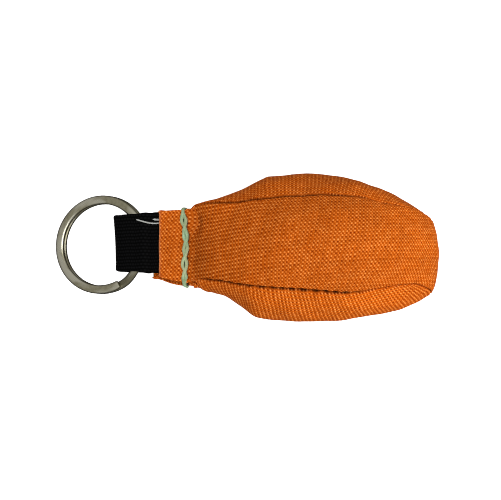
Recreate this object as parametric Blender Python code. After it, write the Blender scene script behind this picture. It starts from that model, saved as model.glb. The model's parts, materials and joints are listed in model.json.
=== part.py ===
"""Shot-filled throw weight: an orange sewn bag, a folded black webbing loop
in its neck and a steel split ring.  Metres, +Z up, +X towards the blunt tail,
+Y to the left of the bag when looking from the ring to the tail."""
import bpy
import bmesh
import numpy as np
from math import sin, cos, pi, radians, sqrt, hypot

# ---------------------------------------------------------------- dimensions
# All lengths below are millimetres; MM turns them into metres.
MM = 0.001
CENTRE_X = 0.65            # centres the whole object's box on X = 0
CENTRE_Y = -0.08           # and on Y = 0

FABRIC = 0.8               # coated polyester cloth, thickness
SEAM_GAP = 0.85            # left open between two panels along a seam
FILL_IN = 1.75             # outside of the cloth to the packed shot
THREAD_R = 0.28            # seam thread, radius
CORD_R = 0.45              # heavy closing thread, radius

TILT = radians(20.0)       # neck, loop and ring slope down towards the ring
NECK_PIVOT = (-15.9, 18.2) # X, Z where the neck folds against the bag
NECK_LEN = 13.5            # pivot to the mouth, along the neck
HEM = 1.4                  # folded double cloth of the neck plies
PLY_IN = 1.72              # mouth: centre plane to the inside of a ply
LOOP_PIVOT = 12.2          # pivot to the line where the loop folds

WEB_T = 1.2                # webbing thickness
WEB_IN = 0.2               # centre plane to a tail, inside the neck
WEB_EYE = 1.95             # centre plane to the webbing round the ring
WEB_W0, WEB_W1 = 19.6, 18.0    # webbing width at the neck and at the fold
WEB_Y0, WEB_Y1 = 2.2, 2.45     # webbing middle at the neck and at the fold
WEB_FOLD = 29.0            # pivot to the outside of the fold
WEB_TAIL = 3.4             # pivot to the ends of the two tails

RING_OD = 32.0             # split ring, outside diameter
RING_W = 2.8               # wire, radial width
RING_T = 1.32              # wire, thickness of one turn
RING_STEP = 0.70           # a turn's middle above or below the ring's plane
RING_AT = 33.2             # pivot to the ring's middle, along the neck
RING_Y = 2.3
RING_JOG0, RING_JOG = radians(-68.0), radians(40.0)  # where the wire climbs

# Centre line of the wrap panel, from the neck over the top, round the tail
# and back along the bottom: X, Z, middle Y, half width, crown height.
WRAP = [
    (-14.2, 19.6, 1.9, 12.2, 0.2), (-12.6, 21.4, 1.75, 12.3, 0.5),
    (-6.8, 29.0, 0.75, 12.8, 1.6), (-0.4, 34.6, 0.2, 13.7, 3.0),
    (5.5, 37.9, 0.1, 14.3, 4.2), (10.7, 39.8, 0.1, 14.7, 5.2),
    (16.5, 40.8, 0.0, 14.9, 5.8), (23.5, 41.1, -0.15, 15.3, 6.0),
    (29.5, 40.6, -0.35, 15.5, 6.0), (33.5, 39.8, -0.4, 15.35, 5.8),
    (38.8, 38.2, -0.3, 14.9, 5.4), (43.7, 35.9, -0.4, 13.95, 4.8),
    (50.4, 31.2, -0.25, 12.6, 3.8), (55.6, 25.9, -0.6, 11.2, 3.0),
    (59.2, 20.8, -1.7, 11.1, 2.5), (61.0, 15.8, -2.55, 11.4, 2.2),
    (60.1, 10.0, -3.3, 11.4, 2.3), (56.7, 4.4, -4.1, 11.6, 2.8),
    (51.5, 0.6, -3.4, 12.6, 3.8), (45.0, -1.1, -1.8, 13.9, 4.9),
    (36.0, -1.4, -0.55, 15.2, 5.8), (24.0, -1.4, -0.1, 15.3, 6.0),
    (12.0, -1.2, 0.1, 14.7, 5.4), (5.0, -0.2, -0.3, 14.2, 4.2),
    (-0.4, 2.6, -0.9, 13.6, 3.0), (-6.8, 8.6, 0.25, 12.8, 1.6),
    (-12.6, 15.0, -0.45, 12.3, 0.5), (-14.2, 16.8, -0.5, 12.2, 0.2),
]
TOP_CORNER = 13            # WRAP station where a side panel turns the corner
BOTTOM_CORNER = 17
# Widest reach of each side panel along X.
LEFT_SIDE = [(-14.2, 14.35), (-12.7, 14.75), (-7.3, 16.2), (-3.5, 17.8),
             (0.3, 19.4), (2.9, 20.85), (6.6, 22.4), (9.2, 22.9),
             (13.7, 23.25), (19.5, 23.55), (27.1, 22.95), (32.9, 21.95),
             (36.7, 21.0), (40.5, 19.75), (44.3, 18.4), (48.1, 16.5),
             (51.9, 14.25), (55.7, 11.7), (58.3, 9.3), (61.0, 8.8)]
RIGHT_SIDE = [(-14.9, 12.95), (-11.1, 13.9), (-7.3, 15.15), (-3.5, 17.65),
              (0.3, 20.2), (2.2, 21.45), (4.1, 22.15), (9.8, 22.8),
              (16.8, 23.4), (23.1, 23.4), (30.7, 22.85), (36.5, 22.15),
              (40.3, 21.5), (44.1, 20.7), (47.9, 19.6), (51.7, 18.1),
              (55.5, 16.3), (58.7, 14.2), (61.0, 13.9)]

WRAP_N, WRAP_M = 54, 8     # faces along and across the wrap panel
SIDE_N, SIDE_M = 22, 8     # faces along and across a side panel


# ---------------------------------------------------------------- helpers
def clear_scene():
    for o in list(bpy.data.objects):
        bpy.data.objects.remove(o, do_unlink=True)


def smooth_through(ts, rows, t):
    """Cubic through the rows at parameters ts, with limited slopes."""
    ts, rows = np.asarray(ts, float), np.asarray(rows, float)
    t = np.atleast_1d(np.asarray(t, float))
    h = np.diff(ts)[:, None]
    d = np.diff(rows, axis=0) / h
    m = np.zeros_like(rows)
    m[1:-1] = (d[:-1] * h[1:] + d[1:] * h[:-1]) / (h[:-1] + h[1:])
    m[0], m[-1] = d[0], d[-1]
    i = np.clip(np.searchsorted(ts, t, side="right") - 1, 0, len(ts) - 2)
    w = ts[i + 1] - ts[i]
    s = ((t - ts[i]) / w)[:, None]
    w = w[:, None]
    return ((2 * s**3 - 3 * s**2 + 1) * rows[i] + (s**3 - 2 * s**2 + s) * w * m[i]
            + (3 * s**2 - 2 * s**3) * rows[i + 1] + (s**3 - s**2) * w * m[i + 1])


WRAP_A = np.array(WRAP)
WRAP_S = np.concatenate([[0.0], np.cumsum(np.hypot(np.diff(WRAP_A[:, 0]),
                                                  np.diff(WRAP_A[:, 1])))])


def arc_across(v):
    """Cross-wise place (-1..1) and drop (0..1) of a quarter-circle arc."""
    a = v * pi / 4
    return np.sin(a) / sin(pi / 4), (1 - np.cos(a)) / (1 - cos(pi / 4))


def wrap_points(s, v):
    """Outer surface of the wrap panel at arc length s and across v."""
    s, v = np.broadcast_arrays(np.asarray(s, float), np.asarray(v, float))
    shape = s.shape
    s, v = s.ravel(), v.ravel()
    r = smooth_through(WRAP_S, WRAP_A, s)
    e = 0.05
    t = (smooth_through(WRAP_S, WRAP_A, np.minimum(s + e, WRAP_S[-1]))
         - smooth_through(WRAP_S, WRAP_A, np.maximum(s - e, 0.0)))[:, :2]
    t /= np.linalg.norm(t, axis=1)[:, None]
    across, drop = arc_across(v)
    x = r[:, 0] + t[:, 1] * r[:, 4] * drop
    z = r[:, 1] - t[:, 0] * r[:, 4] * drop
    y = r[:, 2] + r[:, 3] * across
    return np.stack([x, y, z], axis=1).reshape(shape + (3,))


def side_points(side, s, t):
    """Outer surface of a side panel: s from the neck to the tail, t from the
    bottom seam (-1) to the top seam (1); side is 1 on +Y and -1 on -Y."""
    s, t = np.broadcast_arrays(np.asarray(s, float), np.asarray(t, float))
    shape = s.shape
    s, t = s.ravel(), t.ravel()
    total = WRAP_S[-1]
    top1, bot1 = WRAP_S[TOP_CORNER], WRAP_S[BOTTOM_CORNER]
    start = 0.9
    u_top = start + (top1 - start) * s
    u_bot = total - start + (bot1 - total + start) * s
    across, bulge = arc_across(t)
    tau = (across + 1) / 2
    u_tail = bot1 + (top1 - bot1) * tau
    top, bot = wrap_points(u_top, side), wrap_points(u_bot, side)
    tail = wrap_points(u_tail, side)
    t0, b0 = wrap_points(start, side), wrap_points(total - start, side)
    t1, b1 = wrap_points(top1, side), wrap_points(bot1, side)
    k, q = s[:, None], tau[:, None]
    neck = (1 - q) * b0 + q * t0
    p = ((1 - q) * bot + q * top + (1 - k) * neck + k * tail
         - ((1 - k) * ((1 - q) * b0 + q * t0) + k * ((1 - q) * b1 + q * t1)))
    table = np.array(LEFT_SIDE if side > 0 else RIGHT_SIDE)
    # the reach is taken at the panel's middle line
    mid = side_middle(side, s)
    reach = smooth_through(table[:, 0], table[:, 1:], np.clip(
        mid[:, 0], table[0, 0], table[-1, 0]))[:, 0]
    amount = np.maximum(reach - np.abs(mid[:, 1]), 0.0)
    p[:, 1] += side * amount * (1 - bulge)
    return p.reshape(shape + (3,))


def side_middle(side, s):
    """Middle line of a side panel before it bulges."""
    total = WRAP_S[-1]
    top1, bot1 = WRAP_S[TOP_CORNER], WRAP_S[BOTTOM_CORNER]
    start = 0.9
    top = wrap_points(start + (top1 - start) * s, side)
    bot = wrap_points(total - start + (bot1 - total + start) * s, side)
    t0, b0 = wrap_points(start, side), wrap_points(total - start, side)
    t1, b1 = wrap_points(top1, side), wrap_points(bot1, side)
    tail = wrap_points((top1 + bot1) / 2, side)
    k = s[:, None]
    return ((bot + top) / 2 + (1 - k) * (b0 + t0) / 2 + k * tail
            - ((1 - k) * (b0 + t0) / 2 + k * (b1 + t1) / 2))


def grid_normals(p):
    du = np.gradient(p, axis=0)
    dv = np.gradient(p, axis=1)
    n = np.cross(du, dv)
    return n / np.maximum(np.linalg.norm(n, axis=2), 1e-9)[:, :, None]


def make_object(name, verts, faces, material, smooth=True):
    me = bpy.data.meshes.new(name)
    pts = [((x + CENTRE_X) * MM, (y + CENTRE_Y) * MM, z * MM) for x, y, z in verts]
    me.from_pydata(pts, [], faces)
    bm = bmesh.new()
    bm.from_mesh(me)
    bmesh.ops.triangulate(bm, faces=bm.faces[:])
    bmesh.ops.recalc_face_normals(bm, faces=bm.faces[:])
    bm.to_mesh(me)
    bm.free()
    me.materials.append(material)
    ob = bpy.data.objects.new(name, me)
    bpy.context.scene.collection.objects.link(ob)
    if smooth:
        me.shade_smooth()
        me.set_sharp_from_angle(angle=radians(40))
    return ob


def thick_sheet(outer, inner):
    """Vertices and faces of a closed sheet between two equal grids."""
    n, m = outer.shape[:2]
    verts = np.concatenate([outer.reshape(-1, 3), inner.reshape(-1, 3)])
    o = lambda i, j: i * m + j
    k = n * m
    faces = []
    for i in range(n - 1):
        for j in range(m - 1):
            faces.append((o(i, j), o(i + 1, j), o(i + 1, j + 1), o(i, j + 1)))
            faces.append((k + o(i, j + 1), k + o(i + 1, j + 1),
                          k + o(i + 1, j), k + o(i, j)))
    for i in range(n - 1):
        for j in (0, m - 1):
            a, b = o(i, j), o(i + 1, j)
            faces.append((a, b, b + k, a + k) if j else (b, a, a + k, b + k))
    for j in range(m - 1):
        for i in (0, n - 1):
            a, b = o(i, j), o(i, j + 1)
            faces.append((b, a, a + k, b + k) if i else (a, b, b + k, a + k))
    return verts, faces


def tube(path, radius, sides, cap_pull=0.6):
    """A round tube with closed ends along an open path of points."""
    path = np.asarray(path, float)
    tan = np.gradient(path, axis=0)
    tan /= np.linalg.norm(tan, axis=1)[:, None]
    ref = np.array([0.0, 0.0, 1.0])
    if abs(tan[0] @ ref) > 0.9:
        ref = np.array([0.0, 1.0, 0.0])
    a = np.cross(tan[0], ref)
    a /= np.linalg.norm(a)
    rings = []
    for p, t in zip(path, tan):
        a = a - t * (a @ t)
        a /= np.linalg.norm(a)
        b = np.cross(t, a)
        rings.append([p + radius * (cos(2 * pi * i / sides) * a
                                    + sin(2 * pi * i / sides) * b)
                      for i in range(sides)])
    verts = [v for ring in rings for v in ring]
    faces = []
    for i in range(len(rings) - 1):
        for j in range(sides):
            k = (j + 1) % sides
            faces.append((i * sides + j, i * sides + k,
                          (i + 1) * sides + k, (i + 1) * sides + j))
    faces.append(tuple(range(sides))[::-1])
    faces.append(tuple((len(rings) - 1) * sides + j for j in range(sides)))
    return verts, faces


def material(name, colour, roughness, metallic=0.0):
    m = bpy.data.materials.new(name)
    m.use_nodes = True
    b = m.node_tree.nodes["Principled BSDF"]
    b.inputs["Base Color"].default_value = (*colour, 1.0)
    b.inputs["Roughness"].default_value = roughness
    b.inputs["Metallic"].default_value = metallic
    m.diffuse_color = (*colour, 1.0)
    return m


# ---------------------------------------------------------------- the neck's own plane
A_X, A_Z = -cos(TILT), -sin(TILT)      # along the neck, towards the ring
M_X, M_Z = -sin(TILT), cos(TILT)       # out of its upper face


def neck_point(s, h, y):
    return (NECK_PIVOT[0] + s * A_X + h * M_X, y, NECK_PIVOT[1] + s * A_Z + h * M_Z)


# ---------------------------------------------------------------- bag panels
def build_wrap(mat):
    u = np.linspace(0.0, WRAP_S[-1], WRAP_N + 1)[:, None]
    v = np.linspace(-1.0, 1.0, WRAP_M + 1)[None, :]
    outer = wrap_points(u, v)
    outer[:, :, 2] = np.maximum(outer[:, :, 2], 0.0)
    n = -grid_normals(outer)
    if n[WRAP_N // 4, WRAP_M // 2, 2] < 0:
        n = -n
    inner = outer - n * FABRIC
    inner[:, :, 2] = np.where(outer[:, :, 2] <= 0.0, FABRIC, inner[:, :, 2])
    inner[:, 0, 1] += FABRIC
    inner[:, -1, 1] -= FABRIC
    verts, faces = thick_sheet(outer, inner)
    return make_object("wrap_panel", verts, faces, mat)


def build_side(name, side, mat):
    def edge(n, lo, hi):
        return np.linspace(lo, hi, n + 1)
    s = edge(SIDE_N, 0.02, 0.97)
    rows = []
    for k in s:
        here = side_points(side, np.full(3, k), np.array([-1.0, 0.0, 1.0]))
        height = np.linalg.norm(here[2] - here[0])
        cut = min(0.45, SEAM_GAP / max(height, 1e-6) * 2.0)
        rows.append(np.linspace(-1 + cut, 1 - cut, SIDE_M + 1))
    t = np.array(rows)
    outer = side_points(side, np.broadcast_to(s[:, None], t.shape), t)
    outer[:, :, 2] = np.maximum(outer[:, :, 2], 0.02)
    n = grid_normals(outer)
    if n[SIDE_N // 2, SIDE_M // 2, 1] * side < 0:
        n = -n
    inner = outer - n * FABRIC
    # the inside of each edge is cut back so that two panels can meet there
    mitre = FABRIC * 0.9
    for i in range(len(s)):
        span = np.linalg.norm(inner[i, -1] - inner[i, 0])
        pull = min(mitre, 0.18 * span)
        for j, k in ((0, 1), (-1, -2)):
            d = inner[i, k] - inner[i, j]
            inner[i, j] += d / np.linalg.norm(d) * min(pull, 0.6 * np.linalg.norm(d))
    for i, k in ((0, 1), (-1, -2)):
        for j in range(SIDE_M + 1):
            d = inner[k, j] - inner[i, j]
            inner[i, j] += d / np.linalg.norm(d) * min(mitre, 0.6 * np.linalg.norm(d))
    verts, faces = thick_sheet(outer, inner)
    return make_object(name, verts, faces, mat)


def build_seam_thread(name, side, mat):
    """One run of thread along a side panel's seam, just inside the cloth:
    from the neck over the top, round the tail and back along the bottom."""
    u = np.linspace(7.5, WRAP_S[-1] - 7.5, 78)
    e = 0.4
    p = wrap_points(u, side)
    du = wrap_points(u + e, side) - wrap_points(u - e, side)
    across = wrap_points(u, side) - wrap_points(u, side * 0.9)
    n_wrap = np.cross(du, across) * -side
    n_wrap /= np.linalg.norm(n_wrap, axis=1)[:, None]
    mid = np.array([24.0, 0.0, 20.0])
    flip = np.sign(np.sum(n_wrap * (p - mid), axis=1))
    n_wrap *= flip[:, None]
    n_side = np.zeros_like(p)
    n_side[:, 1] = side
    n = n_wrap + n_side
    n /= np.linalg.norm(n, axis=1)[:, None]
    path = p - n * 2.05
    verts, faces = tube(path, THREAD_R, 5)
    return make_object(name, verts, faces, mat)


def build_fill(mat):
    """The packed shot as one body, inside the cloth and clear of the seams."""
    pts = []
    u = np.linspace(9.0, WRAP_S[-1] - 9.0, 30)
    for v in np.linspace(-1.0, 1.0, 9):
        p = wrap_points(u, v)
        e = 0.3
        du = wrap_points(u + e, v) - wrap_points(u - e, v)
        dv = wrap_points(u, v + 0.02) - wrap_points(u, v - 0.02)
        n = np.cross(du, dv)
        n /= np.linalg.norm(n, axis=1)[:, None]
        if abs(v) > 0.99:
            continue
        p[:, 2] = np.maximum(p[:, 2], 0.0)
        depth = FILL_IN if abs(v) < 0.6 else FILL_IN + 1.1
        depth = depth + (0.7 * (p[:, 0] > 47.0) * (abs(v) > 0.4))[:, None]
        p = p - n * depth
        p[:, 2] = np.maximum(p[:, 2], FILL_IN)
        pts.append(p)
    for side in (1, -1):
        s, t = np.meshgrid(np.linspace(0.22, 0.89, 14), np.linspace(-0.7, 0.7, 7),
                           indexing="ij")
        p = side_points(side, s, t)
        n = grid_normals(p)
        if n[7, 3, 1] * side < 0:
            n = -n
        depth = np.where(np.abs(t) > 0.6, FILL_IN + 1.1, FILL_IN)[:, :, None]
        pts.append((p - n * depth).reshape(-1, 3))
    pts = np.concatenate(pts)
    pts = pts[(pts[:, 0] > -8.5) & (pts[:, 0] < 59.0)]
    bm = bmesh.new()
    for q in pts:
        bm.verts.new(((q[0] + CENTRE_X) * MM, (q[1] + CENTRE_Y) * MM, q[2] * MM))
    out = bmesh.ops.convex_hull(bm, input=bm.verts[:])
    spare = {g for g in out["geom_interior"] + out["geom_unused"]
             if isinstance(g, bmesh.types.BMVert)}
    bmesh.ops.delete(bm, geom=list(spare), context="VERTS")
    bmesh.ops.recalc_face_normals(bm, faces=bm.faces[:])
    me = bpy.data.meshes.new("shot_fill")
    bm.to_mesh(me)
    bm.free()
    me.materials.append(mat)
    me.shade_smooth()
    ob = bpy.data.objects.new("shot_fill", me)
    bpy.context.scene.collection.objects.link(ob)
    return ob


# ---------------------------------------------------------------- neck, loop and ring
def build_ply(name, up, mat):
    """One folded ply of the neck.  It lies flat over the webbing and comes
    to the centre plane where the bag begins."""
    profile_in = [(1.3, 0.36), (2.9, PLY_IN), (5.0, PLY_IN), (7.5, PLY_IN),
                  (10.0, PLY_IN), (12.0, PLY_IN), (NECK_LEN, PLY_IN)]
    thick = [0.8, HEM, HEM, HEM, HEM, HEM, HEM * 0.8]
    hi = [13.3, 13.1, 12.9, 12.85, 12.8, 12.7, 12.4]
    if up > 0:
        lo = [-12.4, -12.2, -11.8, -11.3, -10.8, -10.2, -9.5]
        stretch = [1.0] * 7
    else:
        lo = [-12.7, -12.6, -12.4, -12.0, -11.5, -10.9, -10.0]
        stretch = [1.0, 1.0, 1.0, 1.0, 1.0, 1.03, 1.05]
    rows_out, rows_in = [], []
    for (s, h), t, a, b, g in zip(profile_in, thick, lo, hi, stretch):
        ys = np.linspace(a, b, 5)
        taper = np.array([0.55, 1.0, 1.0, 1.0, 0.55])
        rows_out.append([neck_point(s * g, up * (h + t * c), y) for y, c in zip(ys, taper)])
        rows_in.append([neck_point(s * g, up * h, y) for y in ys])
    verts, faces = thick_sheet(np.array(rows_out), np.array(rows_in))
    return make_object(name, verts, faces, mat)


def build_webbing(mat):
    """A strip folded round the ring; both tails lie in the neck."""
    upper = [(WEB_TAIL, WEB_IN), (8.0, WEB_IN), (13.9, WEB_IN), (15.0, 0.45),
             (16.0, 1.25), (17.0, WEB_EYE), (20.0, WEB_EYE), (24.0, WEB_EYE),
             (25.6, 1.8), (26.6, 1.5)]
    # the fold: half an ellipse from the upper run to the lower one
    cx, rz = 26.6, 1.5
    rx = WEB_FOLD - WEB_T - cx
    inside = list(upper) + [(cx + rx * sin(a), rz * cos(a))
                            for a in np.linspace(0, pi, 9)[1:-1]]
    inside += [(s, -h) for s, h in reversed(upper)]
    inside = np.array(inside)
    tan = np.gradient(inside, axis=0)
    tan /= np.linalg.norm(tan, axis=1)[:, None]
    out = inside + np.stack([-tan[:, 1], tan[:, 0]], axis=1) * WEB_T
    ring_out, ring_in = [], []
    for (si, hi), (so, ho) in zip(inside, out):
        k = min(max((si - NECK_LEN) / (WEB_FOLD - NECK_LEN), 0.0), 1.0)
        w = WEB_W0 + (WEB_W1 - WEB_W0) * k
        mid = WEB_Y0 + (WEB_Y1 - WEB_Y0) * k
        ys = np.linspace(mid - w / 2, mid + w / 2, 3)
        ring_in.append([neck_point(si, hi, y) for y in ys])
        ring_out.append([neck_point(so, ho, y) for y in ys])
    verts, faces = thick_sheet(np.array(ring_out), np.array(ring_in))
    return make_object("webbing_loop", verts, faces, mat)


def build_ring(mat):
    """Two turns of flat-oval wire.  The lower turn climbs past its own start
    and lies on top of itself; both ends are free."""
    per_turn, sides = 45, 10
    step = 2 * pi / per_turn
    start = RING_JOG0 + RING_JOG
    total = 4 * pi - RING_JOG - radians(2.0)
    n = int(round(total / step))
    mid_r = RING_OD / 2 - RING_W / 2
    rings = []
    for i in range(n + 1):
        a = total * i / n
        k = (a - (2 * pi - RING_JOG)) / RING_JOG
        k = min(max(k, 0.0), 1.0)
        level = -RING_STEP + 2 * RING_STEP * (3 * k**2 - 2 * k**3)
        ring = []
        for j in range(sides):
            b = 2 * pi * (j + 0.5) / sides
            c, q = cos(b), sin(b)
            f = (abs(c) ** 3 + abs(q) ** 3) ** (-1 / 3)
            r = mid_r + RING_W / 2 * c * f
            h = level + RING_T / 2 * q * f
            # round the outer half of each end
            ring.append((r, h))
        pts = []
        for r, h in ring:
            g = start + a
            pts.append(neck_point(RING_AT - r * cos(g), h, RING_Y + r * sin(g)))
        rings.append(pts)
    verts = [v for ring in rings for v in ring]
    faces = []
    for i in range(len(rings) - 1):
        for j in range(sides):
            k = (j + 1) % sides
            faces.append((i * sides + j, i * sides + k,
                          (i + 1) * sides + k, (i + 1) * sides + j))
    faces.append(tuple(range(sides))[::-1])
    faces.append(tuple((len(rings) - 1) * sides + j for j in range(sides)))
    return make_object("split_ring", verts, faces, mat)


def build_closing_stitch(mat):
    """Heavy thread taken three times round the neck, over both edges."""
    turns, per = 3, 38
    half_h = PLY_IN + HEM + CORD_R + 0.45
    half_w, mid_y = 13.95, 0.35
    fine = np.linspace(0.0, 2 * pi, 721) + pi / 2
    c, q = np.cos(fine), np.sin(fine)
    f = (np.abs(c) ** 7 + np.abs(q) ** 7) ** (-1 / 7)
    oval = np.stack([mid_y + half_w * c * f, half_h * q * f], axis=1)
    run = np.concatenate([[0.0], np.cumsum(np.hypot(*np.diff(oval, axis=0).T))])
    at = np.linspace(0.0, run[-1], per + 1)
    y = np.interp(at, run, oval[:, 0])
    h = np.interp(at, run, oval[:, 1])
    path = [neck_point(3.15 + 1.0 * i / per, h[i % per], y[i % per])
            for i in range(turns * per - 1)]
    verts, faces = tube(path, CORD_R, 6)
    return make_object("closing_stitch", verts, faces, mat)


# ---------------------------------------------------------------- assembly
def main():
    clear_scene()
    cloth = material("orange_cloth", (0.62, 0.13, 0.012), 0.75)
    cloth_l = material("orange_cloth_left", (0.62, 0.13, 0.012), 0.75)
    cloth_r = material("orange_cloth_right", (0.62, 0.13, 0.012), 0.75)
    hem_u = material("orange_hem_upper", (0.64, 0.14, 0.014), 0.75)
    hem_l = material("orange_hem_lower", (0.55, 0.11, 0.010), 0.75)
    web = material("black_webbing", (0.008, 0.008, 0.010), 0.65)
    steel = material("nickel_steel", (0.50, 0.47, 0.40), 0.28, 1.0)
    shot = material("steel_shot", (0.25, 0.25, 0.26), 0.45, 1.0)
    seam_l = material("seam_thread_left_nylon", (0.55, 0.12, 0.012), 0.6)
    seam_r = material("seam_thread_right_nylon", (0.55, 0.12, 0.012), 0.6)
    pale = material("pale_thread", (0.45, 0.55, 0.38), 0.6)

    bag = bpy.data.objects.new("bag_frame", None)
    neck = bpy.data.objects.new("neck_axis", None)
    loop = bpy.data.objects.new("loop_axis", None)
    hoop = bpy.data.objects.new("ring_axis", None)
    for e in (bag, neck, loop, hoop):
        bpy.context.scene.collection.objects.link(e)

    def at(s):
        x, y, z = neck_point(s, 0.0, 0.0)
        return ((x + CENTRE_X) * MM, (y + CENTRE_Y) * MM, z * MM)

    neck.location = at(0.0)
    loop.location = at(LOOP_PIVOT)
    x, y, z = neck_point(RING_AT, 0.0, RING_Y)
    hoop.location = ((x + CENTRE_X) * MM, (y + CENTRE_Y) * MM, z * MM)
    hoop.rotation_euler = (0.0, -TILT, 0.0)
    bpy.context.view_layer.update()

    parts = {
        bag: [build_wrap(cloth), build_side("left_gusset", 1, cloth_l),
              build_side("right_gusset", -1, cloth_r), build_fill(shot),
              build_seam_thread("left_seam_thread", 1, seam_l),
              build_seam_thread("right_seam_thread", -1, seam_r)],
        neck: [build_ply("neck_upper_ply", 1, hem_u),
               build_ply("neck_lower_ply", -1, hem_l),
               build_closing_stitch(pale)],
        loop: [build_webbing(web)],
        hoop: [build_ring(steel)],
    }
    for parent, children in parts.items():
        for child in children:
            child.parent = parent
            child.matrix_parent_inverse = parent.matrix_world.inverted()


main()
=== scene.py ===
"""Looks for the shot-filled throw weight: sewn orange bag, closing stitch,
black webbing loop and steel split ring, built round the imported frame."""
import json
import math
from math import sin, cos, pi, radians, hypot

import bpy
import numpy as np
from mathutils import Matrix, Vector

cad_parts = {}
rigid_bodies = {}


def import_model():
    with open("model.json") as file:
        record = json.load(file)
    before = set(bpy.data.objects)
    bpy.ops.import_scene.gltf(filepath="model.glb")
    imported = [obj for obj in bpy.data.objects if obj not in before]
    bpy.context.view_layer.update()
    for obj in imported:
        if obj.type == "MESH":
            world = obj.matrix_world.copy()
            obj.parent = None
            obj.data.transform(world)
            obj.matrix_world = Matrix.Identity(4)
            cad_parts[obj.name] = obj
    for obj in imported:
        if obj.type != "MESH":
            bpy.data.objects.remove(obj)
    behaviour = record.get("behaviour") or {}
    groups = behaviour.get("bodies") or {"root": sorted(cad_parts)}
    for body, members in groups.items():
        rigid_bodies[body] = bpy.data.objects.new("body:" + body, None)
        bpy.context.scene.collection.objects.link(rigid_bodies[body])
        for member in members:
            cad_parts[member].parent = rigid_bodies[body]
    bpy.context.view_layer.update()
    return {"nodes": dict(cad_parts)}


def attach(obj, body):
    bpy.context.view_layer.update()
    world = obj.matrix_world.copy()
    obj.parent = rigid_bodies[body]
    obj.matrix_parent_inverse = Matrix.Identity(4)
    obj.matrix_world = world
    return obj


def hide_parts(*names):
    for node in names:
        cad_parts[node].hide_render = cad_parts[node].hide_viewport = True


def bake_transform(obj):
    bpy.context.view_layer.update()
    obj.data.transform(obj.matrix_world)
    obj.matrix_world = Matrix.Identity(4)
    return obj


for _o in list(bpy.data.objects):
    bpy.data.objects.remove(_o, do_unlink=True)
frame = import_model()
scene = bpy.context.scene

# ---------------------------------------------------------------- dimensions (mm)
MM = 0.001
CENTRE_X, CENTRE_Y = 0.65, -0.08
TILT = radians(20.0)
NECK_PIVOT = (-15.9, 18.2)
WEB_T, WEB_FOLD, WEB_TAIL = 1.2, 29.0, 3.4
WEB_W0, WEB_W1, WEB_Y0, WEB_Y1 = 19.6, 18.0, 2.2, 2.45
RING_OD, RING_W, RING_T, RING_STEP = 32.0, 2.8, 1.32, 0.70
RING_AT, RING_Y = 33.2, 2.3
RING_JOG0, RING_JOG = radians(-68.0), radians(40.0)
THREAD = 1.24              # distance between the cloth's threads
SEAM_R = 0.80              # the cloth rolls into a seam with this radius
SKIN = 0.55                # thickness of the modelled cloth

A_X, A_Z = -cos(TILT), -sin(TILT)
M_X, M_Z = -sin(TILT), cos(TILT)


def neck_xz(s, h):
    return (NECK_PIVOT[0] + s * A_X + h * M_X, NECK_PIVOT[1] + s * A_Z + h * M_Z)


def neck_point(s, h, y):
    x, z = neck_xz(s, h)
    return (x, y, z)


def world(p):
    p = np.asarray(p, float)
    return np.stack([(p[..., 0] + CENTRE_X) * MM, (p[..., 1] + CENTRE_Y) * MM,
                     p[..., 2] * MM], axis=-1)


# ---------------------------------------------------------------- smooth tools
def smooth_through(ts, rows, t):
    ts, rows = np.asarray(ts, float), np.asarray(rows, float)
    t = np.atleast_1d(np.asarray(t, float))
    h = np.diff(ts)[:, None]
    d = np.diff(rows, axis=0) / h
    m = np.zeros_like(rows)
    m[1:-1] = (d[:-1] * h[1:] + d[1:] * h[:-1]) / (h[:-1] + h[1:])
    m[0], m[-1] = d[0], d[-1]
    i = np.clip(np.searchsorted(ts, t, side="right") - 1, 0, len(ts) - 2)
    w = ts[i + 1] - ts[i]
    s = ((t - ts[i]) / w)[:, None]
    w = w[:, None]
    return ((2 * s**3 - 3 * s**2 + 1) * rows[i] + (s**3 - 2 * s**2 + s) * w * m[i]
            + (3 * s**2 - 2 * s**3) * rows[i + 1] + (s**3 - s**2) * w * m[i + 1])


def unit(a):
    return a / np.maximum(np.linalg.norm(a, axis=-1, keepdims=True), 1e-9)


def smoothstep(a, b, x):
    t = np.clip((x - a) / (b - a), 0.0, 1.0)
    return t * t * (3 - 2 * t)


RNG = np.random.default_rng(11)
WAVES = [(unit(RNG.normal(size=3)), RNG.uniform(0, 2 * pi), RNG.uniform(0.75, 1.3))
         for _ in range(26)]


def lumps(p, size):
    """Smooth deterministic lumps of about the given size, about -1..1."""
    total = np.zeros(p.shape[:-1])
    for d, ph, k in WAVES:
        total = total + np.sin((p @ d) * (2 * pi * k / size) + ph)
    return total / math.sqrt(len(WAVES) / 2.0) / 1.6


SEAM_WAVES = [(RNG.uniform(3.1, 4.2), RNG.uniform(0, 6.28), 1.0),
              (RNG.uniform(4.8, 6.0), RNG.uniform(0, 6.28), 0.8),
              (RNG.uniform(8.0, 10.5), RNG.uniform(0, 6.28), 0.6),
              (RNG.uniform(2.2, 2.6), RNG.uniform(0, 6.28), 0.35)]


def pucker(u, side):
    """Rise and fall of the cloth along a seam, about -1..1."""
    total = 0.0
    for lam, ph, a in SEAM_WAVES:
        total = total + a * np.sin(2 * pi * u / lam + ph + side * 1.7)
    slow = 0.65 + 0.35 * np.sin(2 * pi * u / 27.0 + side)
    return total / 1.7 * slow


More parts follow.
